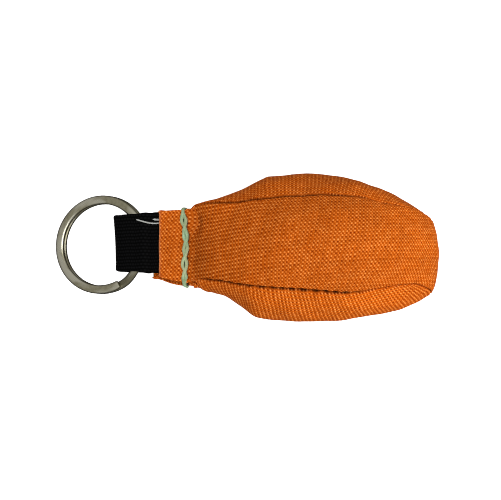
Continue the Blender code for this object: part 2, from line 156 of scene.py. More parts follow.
# ---------------------------------------------------------------- the wrap's path
# Stations: X, Z, middle Y, half width, crown height.  The strip starts inside
# the upper hem, turns over the mouth, runs along the neck, over the bag, round
# the tail, back underneath and into the lower hem.
BAG = [
    (-17.0, 20.45, 1.75, 12.2, 0.10), (-15.6, 21.8, 1.8, 12.2, 0.2),
    (-13.6, 23.7, 1.75, 12.3, 0.5), (-11.2, 25.8, 1.4, 12.45, 0.9),
    (-8.8, 27.75, 1.05, 12.6, 1.25), (-6.8, 29.3, 0.75, 12.8, 1.6),
    (-0.4, 34.6, 0.2, 13.7, 3.0),
    (5.5, 37.9, 0.1, 14.3, 4.2), (10.7, 39.8, 0.1, 14.7, 5.2),
    (16.5, 40.8, 0.0, 14.9, 5.8), (23.5, 41.1, -0.15, 15.3, 6.0),
    (29.5, 40.6, -0.35, 15.5, 6.0), (33.5, 39.8, -0.4, 15.35, 5.8),
    (38.8, 38.2, -0.3, 14.9, 5.4), (43.7, 35.9, -0.4, 13.95, 4.8),
    (50.4, 31.2, -0.2, 12.75, 3.8), (55.7, 26.0, -0.1, 12.2, 2.9),
    (59.5, 20.8, -1.2, 11.9, 2.5), (61.4, 15.8, -2.2, 11.8, 2.3),
    (60.3, 10.0, -3.0, 11.7, 2.3), (56.8, 4.4, -3.9, 12.0, 2.7),
    (51.5, 0.6, -3.4, 12.6, 3.8), (45.0, -1.1, -1.8, 13.9, 4.9),
    (36.0, -1.4, -0.55, 15.2, 5.8), (24.0, -1.4, -0.1, 15.3, 6.0),
    (12.0, -1.2, 0.1, 14.7, 5.4), (5.0, -0.2, -0.3, 14.2, 4.2),
    (-0.4, 2.6, -0.9, 13.6, 3.0), (-6.8, 8.6, 0.25, 12.8, 1.6),
    (-10.0, 12.0, -0.35, 12.45, 0.9), (-12.8, 14.6, -0.85, 12.3, 0.4),
    (-14.4, 15.5, -0.95, 12.25, 0.2),
]
UP_HI = [(-1, 13.5), (0.5, 13.3), (1.5, 12.95), (2.9, 12.6), (5, 12.6), (7.5, 12.55),
         (10, 12.5), (12, 12.4), (14.4, 12.2)]
UP_LO = [(-1, -10.45), (0.5, -10.7), (1.5, -11.0), (2.9, -11.3), (5, -11.1),
         (7.5, -10.6), (10, -9.9), (12, -9.1), (14.4, -8.6)]
LOW_LO = [(-1, -13.1), (1.3, -12.7), (2.9, -12.15), (5, -12.2), (7.5, -11.8),
          (10, -11.2), (12, -10.5), (15, -9.3)]
TOP_NECK = [(10.2, 3.13), (9.2, 3.13), (8.0, 3.08), (6.8, 2.98), (5.8, 2.76),
            (5.0, 2.5), (4.2, 2.32), (3.2, 2.25), (2.2, 2.26), (1.3, 2.34)]
LOW_NECK = [(0.4, -2.36), (1.3, -2.3), (2.2, -2.22), (3.2, -2.22), (4.2, -2.3),
            (5.0, -2.5), (5.8, -2.76), (6.8, -2.98), (8.0, -3.10), (10.0, -3.14),
            (12.2, -3.13), (13.6, -3.12)]
HEM_R, HEM_IN = 0.7, 1.72


def neck_rows():
    def tab(t, s):
        a = np.array(t)
        return float(np.interp(s, a[:, 0], a[:, 1]))

    def row(s, h, lo_t, tuck):
        hi = tab(UP_HI, s) - tuck
        lo = tab(lo_t, s) + tuck
        x, z = neck_xz(s, h)
        return (x, z, (hi + lo) / 2, (hi - lo) / 2, 0.0)
    top, low = [], []
    cs = 11.4
    for s in (6.6, 7.6, 8.6, 9.6, 10.6, cs):
        top.append(row(s, HEM_IN, UP_LO, 1.35 * (1 - smoothstep(10.4, cs, s))))
    for k in range(1, 9):
        a = -pi / 2 + pi * k / 9
        top.append(row(cs + HEM_R * cos(a), HEM_IN + HEM_R + HEM_R * sin(a), UP_LO, 0.0))
    top.append(row(cs, HEM_IN + 2 * HEM_R, UP_LO, 0.0))
    for s, h in TOP_NECK:
        top.append(row(s, h, UP_LO, 0.0))
    cs = 15.3
    for s, h in LOW_NECK:
        low.append(row(s, h, LOW_LO, 0.0))
    low.append(row(cs, -HEM_IN - 2 * HEM_R, LOW_LO, 0.0))
    for k in range(1, 9):
        a = -pi / 2 + pi * k / 9
        low.append(row(cs + HEM_R * cos(a), -HEM_IN - HEM_R + HEM_R * sin(a), LOW_LO, 0.0))
    for s in (cs, 13.5, 12.4, 11.2, 10.0, 9.0):
        low.append(row(s, -HEM_IN, LOW_LO, 1.35 * (1 - smoothstep(14.0, cs, s))))
    return top, low


_top, _low = neck_rows()
N_TOP = len(_top)
WRAP_A = np.array(_top + BAG + _low)
TOTAL_ROWS = len(WRAP_A)
WRAP_S = np.concatenate([[0.0], np.cumsum(np.hypot(np.diff(WRAP_A[:, 0]),
                                                  np.diff(WRAP_A[:, 1])))])
I_TOP_CORNER = N_TOP + 16
I_BOTTOM_CORNER = N_TOP + 20
S_TOP, S_BOT = WRAP_S[I_TOP_CORNER], WRAP_S[I_BOTTOM_CORNER]
S_SIDE0 = WRAP_S[N_TOP - 3] + 0.4            # where a side panel starts, above
S_SIDE1 = WRAP_S[N_TOP + len(BAG) + 2] - 0.4  # and below
S_MOUTH_T = WRAP_S[14]                       # end of the upper mouth fold
S_MOUTH_B = WRAP_S[TOTAL_ROWS - 15]          # start of the lower one
S_CREASE = WRAP_S[N_TOP - 1]                 # foot of the bag, above

LEFT_SIDE = [(-19.5, 9.2), (-17.5, 10.6), (-16.0, 12.0), (-14.2, 13.3), (-12.7, 14.2),
             (-7.3, 16.2), (-3.5, 17.8),
             (0.3, 19.3), (2.9, 20.7), (5.4, 22.2), (6.5, 22.8), (7.6, 22.98),
             (10.5, 23.2), (13.7, 23.4), (19.5, 23.6), (27.1, 22.95), (32.9, 21.95),
             (36.7, 21.0), (40.5, 19.75), (44.3, 18.4), (48.1, 16.5),
             (51.9, 14.25), (55.7, 11.7), (58.3, 9.3), (61.0, 8.8)]
RIGHT_SIDE = [(-19.5, 7.6), (-17.5, 9.2), (-16.0, 11.2), (-14.9, 12.6), (-11.1, 13.9),
              (-7.3, 15.15), (-3.5, 17.65),
              (0.3, 20.3), (1.9, 21.55), (2.9, 22.05), (4.6, 22.45), (9.8, 23.15),
              (16.8, 23.75), (23.1, 23.7), (30.7, 23.0), (36.5, 22.15),
              (40.3, 21.5), (44.1, 20.7), (47.9, 19.6), (51.7, 18.1),
              (55.5, 16.3), (58.7, 14.2), (61.0, 13.9)]


def arc_across(v):
    a = v * pi / 4
    return np.sin(a) / sin(pi / 4), (1 - np.cos(a)) / (1 - cos(pi / 4))


def wrap_points(s, v):
    """Smooth outer surface of the wrap at arc length s and across v (-1..1)."""
    s, v = np.broadcast_arrays(np.asarray(s, float), np.asarray(v, float))
    shape = s.shape
    s, v = s.ravel(), v.ravel()
    r = smooth_through(WRAP_S, WRAP_A, s)
    e = 0.05
    t = (smooth_through(WRAP_S, WRAP_A, np.minimum(s + e, WRAP_S[-1]))
         - smooth_through(WRAP_S, WRAP_A, np.maximum(s - e, 0.0)))[:, :2]
    t /= np.linalg.norm(t, axis=1)[:, None]
    across, drop = arc_across(v)
    x = r[:, 0] + t[:, 1] * r[:, 4] * drop
    z = r[:, 1] - t[:, 0] * r[:, 4] * drop
    y = r[:, 2] + r[:, 3] * across
    return np.stack([x, y, z], axis=1).reshape(shape + (3,))


def side_middle(side, s):
    top = wrap_points(S_SIDE0 + (S_TOP - S_SIDE0) * s, side)
    bot = wrap_points(S_SIDE1 + (S_BOT - S_SIDE1) * s, side)
    t0, b0 = wrap_points(S_SIDE0, side), wrap_points(S_SIDE1, side)
    t1, b1 = wrap_points(S_TOP, side), wrap_points(S_BOT, side)
    tail = wrap_points((S_TOP + S_BOT) / 2, side)
    k = s[:, None]
    return ((bot + top) / 2 + (1 - k) * (b0 + t0) / 2 + k * tail
            - ((1 - k) * (b0 + t0) / 2 + k * (b1 + t1) / 2))


def side_points(side, s, t):
    """Smooth outer surface of a side panel, s from neck to tail, t from the
    bottom seam (-1) to the top seam (1)."""
    s, t = np.broadcast_arrays(np.asarray(s, float), np.asarray(t, float))
    shape = s.shape
    s, t = s.ravel(), t.ravel()
    across, bulge = arc_across(t)
    tau = (across + 1) / 2
    top = wrap_points(S_SIDE0 + (S_TOP - S_SIDE0) * s, side)
    bot = wrap_points(S_SIDE1 + (S_BOT - S_SIDE1) * s, side)
    tail = wrap_points(S_BOT + (S_TOP - S_BOT) * tau, side)
    t0, b0 = wrap_points(S_SIDE0, side), wrap_points(S_SIDE1, side)
    t1, b1 = wrap_points(S_TOP, side), wrap_points(S_BOT, side)
    k, q = s[:, None], tau[:, None]
    neck = (1 - q) * b0 + q * t0
    p = ((1 - q) * bot + q * top + (1 - k) * neck + k * tail
         - ((1 - k) * ((1 - q) * b0 + q * t0) + k * ((1 - q) * b1 + q * t1)))
    table = np.array(LEFT_SIDE if side > 0 else RIGHT_SIDE)
    mid = side_middle(side, s)
    reach = smooth_through(table[:, 0], table[:, 1:], np.clip(
        mid[:, 0], table[0, 0], table[-1, 0]))[:, 0]
    amount = reach - np.abs(mid[:, 1])
    amount = np.where(mid[:, 0] > -13.0, np.maximum(amount, 0.0), amount)
    p[:, 1] += side * amount * (1 - bulge)
    return p.reshape(shape + (3,))


def grid_normals(p):
    n = np.cross(np.gradient(p, axis=0), np.gradient(p, axis=1))
    return unit(n)


def blur(a, width, axis=0):
    """Gaussian smoothing along an axis, ends repeated."""
    k = int(max(1, math.ceil(width * 3)))
    w = np.exp(-0.5 * (np.arange(-k, k + 1) / width) ** 2)
    w /= w.sum()
    a = np.moveaxis(a, axis, 0)
    pad = np.concatenate([np.repeat(a[:1], k, 0), a, np.repeat(a[-1:], k, 0)])
    out = sum(w[i] * pad[i:i + len(a)] for i in range(2 * k + 1))
    return np.moveaxis(out, 0, axis)


# inward direction of each seam, along the wrap's arc length
SEAM_U = np.arange(0.0, WRAP_S[-1], 0.25)


def seam_inward(side):
    u = SEAM_U
    q = wrap_points(u, side)
    du = unit(np.gradient(q, axis=0))
    tw = unit(wrap_points(u, side * 0.95) - q)
    n_w = side * unit(np.cross(tw, du))
    ts = np.zeros_like(q)
    flat = np.zeros(len(u), bool)
    for i, ui in enumerate(u):
        if S_SIDE0 <= ui <= S_TOP:
            k = (ui - S_SIDE0) / (S_TOP - S_SIDE0)
            ts[i] = side_points(side, k, 0.94) - side_points(side, k, 1.0)
        elif S_TOP < ui < S_BOT:
            tau = (ui - S_BOT) / (S_TOP - S_BOT)
            t = math.asin((2 * tau - 1) * sin(pi / 4)) * 4 / pi
            ts[i] = side_points(side, 0.97, t) - side_points(side, 1.0, t)
        elif S_BOT <= ui <= S_SIDE1:
            k = (ui - S_SIDE1) / (S_BOT - S_SIDE1)
            ts[i] = side_points(side, k, -0.94) - side_points(side, k, -1.0)
        else:
            flat[i] = True
    n_s = side * unit(np.cross(du, unit(ts)))
    n_s[flat] = (0.0, side, 0.0)
    b = -unit(n_w + n_s)
    return unit(blur(b, 5.0))


SEAM_B = {1: seam_inward(1), -1: seam_inward(-1)}


def seam_b(side, u):
    u = np.asarray(u, float)
    return unit(np.stack([np.interp(u, SEAM_U, SEAM_B[side][:, i]) for i in range(3)], -1))


def slit(u, side):
    """How far a seam stands open, in millimetres, along the wrap."""
    if side > 0:
        on = smoothstep(S_CREASE + 7, S_CREASE + 20, u) * (1 - 0.8 * smoothstep(
            S_CREASE + 56, S_CREASE + 68, u))
        return 0.07 + on * (0.10 + 0.035 * pucker(u, side))
    on = smoothstep(S_CREASE + 3, S_CREASE + 9, u) * (1 - 0.95 * smoothstep(
        S_CREASE + 54, S_CREASE + 67, u))
    dash = 0.5 + 0.5 * np.sin(2 * pi * u / 3.85 + 0.8 * np.sin(2 * pi * u / 17.0))
    thick = 0.6 + 0.4 * np.exp(-((u - S_CREASE - 47.0) / 16.0) ** 2)
    return 0.06 + on * thick * (0.05 + 0.22 * dash)


def roll(d, r):
    """How far a panel has turned down into its seam at distance d."""
    k = np.clip(1 - d / r, 0.0, 1.0)
    return 1 - np.sqrt(np.maximum(1 - k * k, 0.0))


def settle(p):
    """The bag lies on the ground: its underside is flat there."""
    k = 0.45
    z = p[..., 2]
    p[..., 2] = np.where(z > 12 * k, z, k * np.log1p(np.exp(np.minimum(z, 12 * k) / k)))
    return p


# ---------------------------------------------------------------- mesh making
def build_mesh(name, verts, faces, mat, uv=None, attrs=None, sharp=40):
    me = bpy.data.meshes.new(name)
    me.from_pydata(world(verts).tolist(), [], faces)
    me.update()
    if uv is not None:
        layer = me.uv_layers.new(name="weave")
        idx = np.zeros(len(me.loops), np.int32)
        me.loops.foreach_get("vertex_index", idx)
        layer.data.foreach_set("uv", np.asarray(uv, np.float32)[idx].ravel())
    for key, values in (attrs or {}).items():
        a = me.attributes.new(key, "FLOAT", "POINT")
        a.data.foreach_set("value", np.asarray(values, np.float32).ravel())
    me.materials.append(mat)
    me.shade_smooth()
    if sharp:
        me.set_sharp_from_angle(angle=radians(sharp))
    ob = bpy.data.objects.new(name, me)
    scene.collection.objects.link(ob)
    return ob


def grid_faces(n, m, base=0, flip=False):
    i, j = np.meshgrid(np.arange(n - 1), np.arange(m - 1), indexing="ij")
    a = base + i * m + j
    q = np.stack([a, a + m, a + m + 1, a + 1], -1).reshape(-1, 4)
    return q[:, ::-1] if flip else q


def closed_sheet(name, outer, inner, uv, mat, attrs=None, sharp=60):
    """A closed sheet between two equal grids; outer's normals are du x dv."""
    n, m = outer.shape[:2]
    k = n * m
    faces = [grid_faces(n, m), grid_faces(n, m, k, True)]
    i = np.arange(n - 1)
    left = np.stack([i * m, k + i * m, k + (i + 1) * m, (i + 1) * m], -1)
    r0 = i * m + m - 1
    right = np.stack([r0, r0 + m, k + r0 + m, k + r0], -1)
    j = np.arange(m - 1)
    first = np.stack([j, j + 1, k + j + 1, k + j], -1)
    l0 = (n - 1) * m + j
    last = np.stack([l0, k + l0, k + l0 + 1, l0 + 1], -1)
    faces += [left, right, first, last]
    verts = np.concatenate([outer.reshape(-1, 3), inner.reshape(-1, 3)])
    uv2 = np.concatenate([uv.reshape(-1, 2)] * 2)
    at = {key: np.concatenate([np.asarray(v).ravel()] * 2)
          for key, v in (attrs or {}).items()}
    return build_mesh(name, verts, np.concatenate(faces).tolist(), mat, uv2, at, sharp)


def lobed_cord(name, path, radius, mat, lobes=3, twist=2.2, sides=15, depth=0.2,
               taper=0.0):
    """A twisted thread along a path: its plies show as turning lobes."""
    path = np.asarray(path, float)
    tan = unit(np.gradient(path, axis=0))
    run = np.concatenate([[0.0], np.cumsum(np.linalg.norm(np.diff(path, axis=0), axis=1))])
    ref = np.array([0.0, 0.0, 1.0])
    if abs(tan[0] @ ref) > 0.9:
        ref = np.array([0.0, 1.0, 0.0])
    a = np.cross(tan[0], ref)
    a /= np.linalg.norm(a)
    verts, uv = [], []
    th = np.linspace(0, 2 * pi, sides, endpoint=False)
    for i, (p, t) in enumerate(zip(path, tan)):
        a = a - t * (a @ t)
        a /= np.linalg.norm(a)
        b = np.cross(t, a)
        rr = radius * (1 - depth + depth * np.abs(np.cos(lobes / 2 * (th - run[i] * twist / radius))))
        if taper:
            end = min(run[i], run[-1] - run[i])
            rr = rr * (0.35 + 0.65 * min(1.0, end / taper))
        verts.append(p + rr[:, None] * (np.cos(th)[:, None] * a + np.sin(th)[:, None] * b))
        uv.append(np.stack([np.full(sides, run[i]), th], -1))
    n = len(path)
    verts = np.concatenate(verts)
    faces = []
    for i in range(n - 1):
        for j in range(sides):
            k = (j + 1) % sides
            faces.append((i * sides + j, i * sides + k, (i + 1) * sides + k, (i + 1) * sides + j))
    faces.append(tuple(range(sides))[::-1])
    faces.append(tuple((n - 1) * sides + j for j in range(sides)))
    return verts, faces, np.concatenate(uv)


def joined(name, parts, mat, sharp=70):
    verts, faces, uvs, k = [], [], [], 0
    for v, f, u in parts:
        verts.append(v)
        faces += [tuple(i + k for i in q) for q in f]
        uvs.append(u)
        k += len(v)
    return build_mesh(name, np.concatenate(verts), faces, mat, np.concatenate(uvs), None, sharp)


# ---------------------------------------------------------------- materials
class Mat:
    """A small helper that writes node materials."""

    def __init__(self, name):
        self.m = bpy.data.materials.new(name)
        self.m.use_nodes = True
        self.nt = self.m.node_tree
        self.nt.nodes.clear()
        self.out = self.nt.nodes.new("ShaderNodeOutputMaterial")
        self.bsdf = self.nt.nodes.new("ShaderNodeBsdfPrincipled")
        self.nt.links.new(self.bsdf.outputs[0], self.out.inputs[0])

    def put(self, socket, value):
        if isinstance(value, bpy.types.NodeSocket):
            self.nt.links.new(value, socket)
        elif isinstance(value, (tuple, list)) and socket.type == "RGBA":
            socket.default_value = (*value[:3], 1.0)
        else:
            socket.default_value = value

    def set(self, **values):
        names = {"base": "Base Color", "rough": "Roughness", "metal": "Metallic",
                 "spec": "Specular IOR Level", "sheen": "Sheen Weight",
                 "sheen_rough": "Sheen Roughness", "sheen_tint": "Sheen Tint",
                 "normal": "Normal", "ior": "IOR", "aniso": "Anisotropic",
                 "coat": "Coat Weight", "coat_rough": "Coat Roughness",
                 "sss": "Subsurface Weight"}
        for key, v in values.items():
            self.put(self.bsdf.inputs[names[key]], v)
        return self

    def math(self, op, a, b=None, c=None, clamp=False):
        n = self.nt.nodes.new("ShaderNodeMath")
        n.operation, n.use_clamp = op, clamp
        for i, v in enumerate((a, b, c)):
            if v is not None:
                self.put(n.inputs[i], v)
        return n.outputs[0]

    def uv(self, name="weave"):
        n = self.nt.nodes.new("ShaderNodeUVMap")
        n.uv_map = name
        s = self.nt.nodes.new("ShaderNodeSeparateXYZ")
        self.nt.links.new(n.outputs[0], s.inputs[0])
        return n.outputs[0], s.outputs[0], s.outputs[1]

    def combine(self, x, y, z=0.0):
        n = self.nt.nodes.new("ShaderNodeCombineXYZ")
        for i, v in enumerate((x, y, z)):
            self.put(n.inputs[i], v)
        return n.outputs[0]

    def noise(self, vector, scale, detail=2.0, rough=0.5, dims="3D", w=None, colour=False):
        n = self.nt.nodes.new("ShaderNodeTexNoise")
        n.noise_dimensions = dims
        if vector is not None:
            self.put(n.inputs["Vector"], vector)
        self.put(n.inputs["Scale"], scale)
        self.put(n.inputs["Detail"], detail)
        self.put(n.inputs["Roughness"], rough)
        if w is not None:
            self.put(n.inputs["W"], w)
        return n.outputs["Color" if colour else "Fac"]

    def white(self, vector):
        n = self.nt.nodes.new("ShaderNodeTexWhiteNoise")
        n.noise_dimensions = "2D"
        self.put(n.inputs["Vector"], vector)
        return n.outputs["Value"]

    def place(self, vector, scale=(1, 1, 1), rot=(0, 0, 0), loc=(0, 0, 0)):
        n = self.nt.nodes.new("ShaderNodeMapping")
        self.put(n.inputs["Vector"], vector)
        n.inputs["Scale"].default_value = scale
        n.inputs["Rotation"].default_value = rot
        n.inputs["Location"].default_value = loc
        return n.outputs[0]

    def span(self, value, a0, a1, b0, b1, smooth=False):
        n = self.nt.nodes.new("ShaderNodeMapRange")
        if smooth:
            n.interpolation_type = "SMOOTHSTEP"
        for i, v in enumerate((value, a0, a1, b0, b1)):
            self.put(n.inputs[i], v)
        return n.outputs[0]

    def mix(self, f, a, b, mode="MIX"):
        n = self.nt.nodes.new("ShaderNodeMix")
        n.data_type, n.blend_type = "RGBA", mode
        self.put(n.inputs[0], f)
        self.put(n.inputs[6], a)
        self.put(n.inputs[7], b)
        return n.outputs[2]

    def attr(self, name):
        n = self.nt.nodes.new("ShaderNodeAttribute")
        n.attribute_name = name
        return n.outputs["Fac"]

    def bump(self, height, distance, strength=1.0, normal=None):
        n = self.nt.nodes.new("ShaderNodeBump")
        n.inputs["Strength"].default_value = strength
        n.inputs["Distance"].default_value = distance
        self.put(n.inputs["Height"], height)
        if normal is not None:
            self.put(n.inputs["Normal"], normal)
        return n.outputs[0]


def cloth_material(name, deep, mid, light, worn_fold_highlight, gain=1.0, ribs="v", rib_gain=0.20,
                   slant=0.46, counter=0.30):
    """Coarse plain-woven coated polyester; one unit of UV is one thread."""
    m = Mat(name)
    vector, u, v = m.uv()
    soft = m.noise(vector, 0.30, 3.0, 0.6, "2D", colour=True)
    sep = m.nt.nodes.new("ShaderNodeSeparateColor")
    m.nt.links.new(soft, sep.inputs[0])
    u = m.math("ADD", u, m.math("MULTIPLY", m.math("SUBTRACT", sep.outputs[0], 0.5), 0.55))
    v = m.math("ADD", v, m.math("MULTIPLY", m.math("SUBTRACT", sep.outputs[1], 0.5), 0.55))
    # each thread and each crossing a little different
    tu = m.white(m.combine(m.math("FLOOR", u), 3.0))
    tv = m.white(m.combine(7.0, m.math("FLOOR", v)))
    cell = m.white(m.combine(m.math("FLOOR", u), m.math("FLOOR", v)))
    hole = m.white(m.combine(m.math("ROUND", u), m.math("ADD", m.math("ROUND", v), 91.0)))
    su = m.math("SINE", m.math("MULTIPLY", u, 2 * pi))
    sv = m.math("SINE", m.math("MULTIPLY", v, 2 * pi))
    cu = m.math("ABSOLUTE", m.math("COSINE", m.math("MULTIPLY", u, 2 * pi)))
    cv = m.math("ABSOLUTE", m.math("COSINE", m.math("MULTIPLY", v, 2 * pi)))
    au = m.math("POWER", m.math("ABSOLUTE", su), 0.5)
    av = m.math("POWER", m.math("ABSOLUTE", sv), 0.5)
    warp = m.math("MULTIPLY", av, m.math("MULTIPLY_ADD", m.math(
        "MULTIPLY", su, m.math("SIGN", sv)), 0.5, 0.5))
    weft = m.math("MULTIPLY", au, m.math("MULTIPLY_ADD", m.math(
        "MULTIPLY", sv, m.math("SIGN", su)), -0.5, 0.5))
    high = m.math("MAXIMUM", warp, weft)
    # the twist of the yarn joins the floats into slanting strokes
    stroke = m.math("COSINE", m.math("MULTIPLY", m.math("ADD", u, v), 2 * pi))
    cross = m.math("COSINE", m.math("MULTIPLY", m.math("SUBTRACT", u, v), 2 * pi))
    rib = m.math("SINE", m.math("MULTIPLY", v if ribs == "v" else u, 2 * pi))
    rows = m.attr("row")
    tone_w = m.math("MULTIPLY", m.math("ADD", m.math("MULTIPLY", stroke, -slant), m.math(
        "MULTIPLY", cross, counter)), m.math("MULTIPLY_ADD", rows, -0.12, 1.0))
    tone_w = m.math("ADD", tone_w, m.math("MULTIPLY", rib, m.math(
        "MULTIPLY_ADD", rows, 0.22, rib_gain)))
    fibres = m.noise(m.place(vector, (6.0, 22.0, 1.0), (0, 0, radians(38))), 1.0, 3.0, 0.6, "2D")
    jitter = m.math("ADD", m.math("MULTIPLY", m.math("SUBTRACT", cell, 0.5), 0.30),
                    m.math("MULTIPLY", m.math("SUBTRACT", hole, 0.5), 0.22))
    tone_w = m.math("MULTIPLY", tone_w, m.math("MULTIPLY_ADD", hole, 0.5, 0.8))
    blob = m.math("ADD", m.math("ADD", tone_w, jitter),
                  m.math("MULTIPLY", m.math("SUBTRACT", fibres, 0.5), 0.35))
    gap = m.math("MULTIPLY", cu, cv)
    # the deep colour in the low spots and the holes between threads is painted shade, and the light colour
    # on the slanting strokes a painted highlight of the yarn's twist, both over the bump
    shade = m.mix(m.span(blob, -0.10, -0.95, 0.0, 1.0), mid, deep)
    shade = m.mix(m.span(blob, 0.10, 1.05, 0.0, 1.0), shade, light)
    shade = m.mix(m.math("MULTIPLY", gap, 0.25), shade, deep)
    thread = m.math("MULTIPLY_ADD", m.math("ADD", tu, tv), 0.08, 0.92)
    patch = m.span(m.noise(vector, 0.045, 3.0, 0.55, "2D"), 0.3, 0.7, 0.93, 1.06)
    # yarn and patch variation, times the painted light and shade the wrap carries in an attribute
    painted_light_tone = m.math("MULTIPLY", m.math("MULTIPLY", thread, patch), m.math("ADD", m.attr("painted_light_tone"), gain))
    painted_light_tone_rgb = m.combine(painted_light_tone, painted_light_tone, painted_light_tone)
    shade = m.mix(1.0, shade, painted_light_tone_rgb, "MULTIPLY")
    # pale painted highlight, with the coating rubbed pale, on the raised threads of the mouth folds
    fold_highlight_and_wear = m.attr("fold_highlight_and_wear")
    shade = m.mix(m.math("MULTIPLY", fold_highlight_and_wear, m.span(high, 0.2, 0.8, 0.45, 1.0), clamp=True),
                  shade, worn_fold_highlight)
    # painted shade in the seams' gaps
    shade = m.mix(m.math("MULTIPLY", m.attr("seam"), 0.93), shade, (0.045, 0.006, 0.0008))
    height = m.math("ADD", m.math("MULTIPLY", high, 0.55), m.math("MULTIPLY", blob, 0.30))
    height = m.math("SUBTRACT", height, m.math("MULTIPLY", gap, 0.25))
    height = m.math("ADD", height, m.math("MULTIPLY", fibres, 0.08))
    rough = m.span(blob, -0.5, 0.9, 0.82, 0.6)
    m.set(base=shade, rough=rough, spec=0.07, sheen=0.01, sheen_rough=0.45,
          sheen_tint=(1.0, 0.55, 0.3), normal=m.bump(height, 0.00017, 0.75))
    return m.m


def webbing_material(name):
    """Black nylon webbing: cords along it, crossed by fine picks."""
    m = Mat(name)
    vector, u, v = m.uv()
    soft = m.noise(vector, 0.35, 2.0, 0.5, "2D")
    vv = m.math("ADD", v, m.math("MULTIPLY", soft, 0.1))
    row = m.math("FLOOR", m.math("DIVIDE", vv, 1.05))
    phase = m.math("MULTIPLY", m.math("MODULO", row, 2.0), 0.5)
    a = m.math("ABSOLUTE", m.math("SINE", m.math("MULTIPLY", vv, pi / 1.05)))
    b = m.math("ABSOLUTE", m.math("SINE", m.math("MULTIPLY", m.math(
        "ADD", m.math("DIVIDE", u, 0.95), phase), pi)))
    high = m.math("MULTIPLY", m.math("POWER", a, 0.6), m.math("MULTIPLY_ADD", m.math(
        "POWER", b, 0.7), 0.6, 0.4))
    fuzz = m.noise(vector, 6.0, 3.0, 0.6, "2D")
    light = m.span(m.math("MULTIPLY", high, m.span(fuzz, 0.3, 0.7, 0.8, 1.15)),
                   0.45, 1.0, 0.0, 1.0, True)
    # lighter on the raised cords: painted highlight
    shade = m.mix(light, (0.0004, 0.0004, 0.0005), (0.0045, 0.0045, 0.0050))
    height = m.math("ADD", high, m.math("MULTIPLY", fuzz, 0.15))
    m.set(base=shade, rough=m.span(fuzz, 0.0, 1.0, 0.55, 0.75), spec=0.04, sheen=0.002,
          sheen_rough=0.5, normal=m.bump(height, 0.00016, 0.8))
    return m.m


def thread_material(name, deep, light, aged, rough=0.55):
    m = Mat(name)
    vector, u, v = m.uv()
    lines = m.noise(m.place(vector, (2.2, 5.0, 1.0), (0, 0, radians(35))), 1.6, 3.0, 0.6, "2D")
    slow = m.noise(vector, 0.22, 2.0, 0.5, "2D")
    f = m.math("ADD", m.span(lines, 0.3, 0.7, 0.0, 0.55), m.span(slow, 0.3, 0.7, 0.0, 0.45),
               clamp=True)
    tint = m.noise(m.place(vector, loc=(31.0, 7.0, 0.0)), 0.16, 2.0, 0.5, "2D")
    shade = m.mix(m.span(tint, 0.42, 0.66, 0.0, 0.55), m.mix(f, deep, light), aged)
    m.set(base=shade, rough=rough, spec=0.4, sheen=0.15, sheen_rough=0.4,
          normal=m.bump(lines, 0.00008, 0.7))
    return m.m


def seam_thread_material(name, deep, light):
    """Sewing thread, in the object's own coordinates."""
    m = Mat(name)
    tc = m.nt.nodes.new("ShaderNodeTexCoord")
    lines = m.noise(m.place(tc.outputs["Object"], (900.0, 2400.0, 900.0), (0, 0, radians(35))),
                    1.0, 3.0, 0.6)
    m.set(base=m.mix(m.span(lines, 0.3, 0.7, 0.0, 1.0), deep, light), rough=0.6, spec=0.3,
          normal=m.bump(lines, 0.00008, 0.7))
    return m.m


def steel_material(name):
    """Satin nickel-plated steel, drawn along the wire, lightly scuffed, with lighter patches of painted
    highlight and painted shade at the wire's edges and on its lower turn.
    """
    m = Mat(name)
    vector, u, v = m.uv()
    drawn = m.noise(m.place(vector, (0.25, 9.0, 1.0)), 1.0, 4.0, 0.65, "2D")
    spots = m.noise(vector, 0.9, 4.0, 0.6, "2D")
    fine = m.noise(vector, 7.0, 2.0, 0.5, "2D")
    f = m.span(spots, 0.35, 0.7, 0.0, 1.0)
    shade = m.mix(f, (0.44, 0.412, 0.285), (0.31, 0.287, 0.19))
    shade = m.mix(m.span(drawn, 0.35, 0.7, 0.0, 0.35), shade, (0.56, 0.53, 0.39))
    # lighter patches: painted highlights
    slow = m.noise(m.place(vector, (0.10, 0.3, 1.0)), 1.0, 2.0, 0.5, "2D")
    shade = m.mix(m.span(slow, 0.45, 0.62, 0.0, 0.75), shade, (0.74, 0.72, 0.60))
    # painted shade at the wire's inner and outer edges, less where the highlight patches lie
    shade = m.mix(m.math("MULTIPLY", m.span(m.attr("wire_painted_shade"), 0.10, 0.60, 0.0, 1.0), m.span(
        slow, 0.25, 0.75, 0.95, 0.6)), shade, (0.055, 0.048, 0.028))
    # painted shade on the lower turn, beneath the upper one
    shade = m.mix(m.math("MULTIPLY", m.attr("lower_turn_painted_shade"), 0.6), shade, (0.075, 0.068, 0.04))
    rough = m.math("ADD", m.span(spots, 0.2, 0.8, 0.16, 0.28), m.math("MULTIPLY", drawn, 0.08))
    height = m.math("ADD", m.math("MULTIPLY", drawn, 0.7), m.math("MULTIPLY", fine, 0.3))
    m.set(base=shade, rough=rough, metal=1.0, normal=m.bump(height, 0.00002, 0.5))
    return m.m


def shot_material(name):
    m = Mat(name)
    tc = m.nt.nodes.new("ShaderNodeTexCoord")
    v = m.nt.nodes.new("ShaderNodeTexVoronoi")
    m.nt.links.new(tc.outputs["Object"], v.inputs["Vector"])
    v.inputs["Scale"].default_value = 420.0
    d = v.outputs["Distance"]
    shade = m.mix(m.span(d, 0.1, 0.7, 0.0, 1.0), (0.30, 0.30, 0.31), (0.03, 0.03, 0.032))
    m.set(base=shade, metal=1.0, rough=m.span(d, 0.0, 0.8, 0.3, 0.6),
          normal=m.bump(m.math("SUBTRACT", 1.0, d), 0.0009, 1.0))
    return m.m
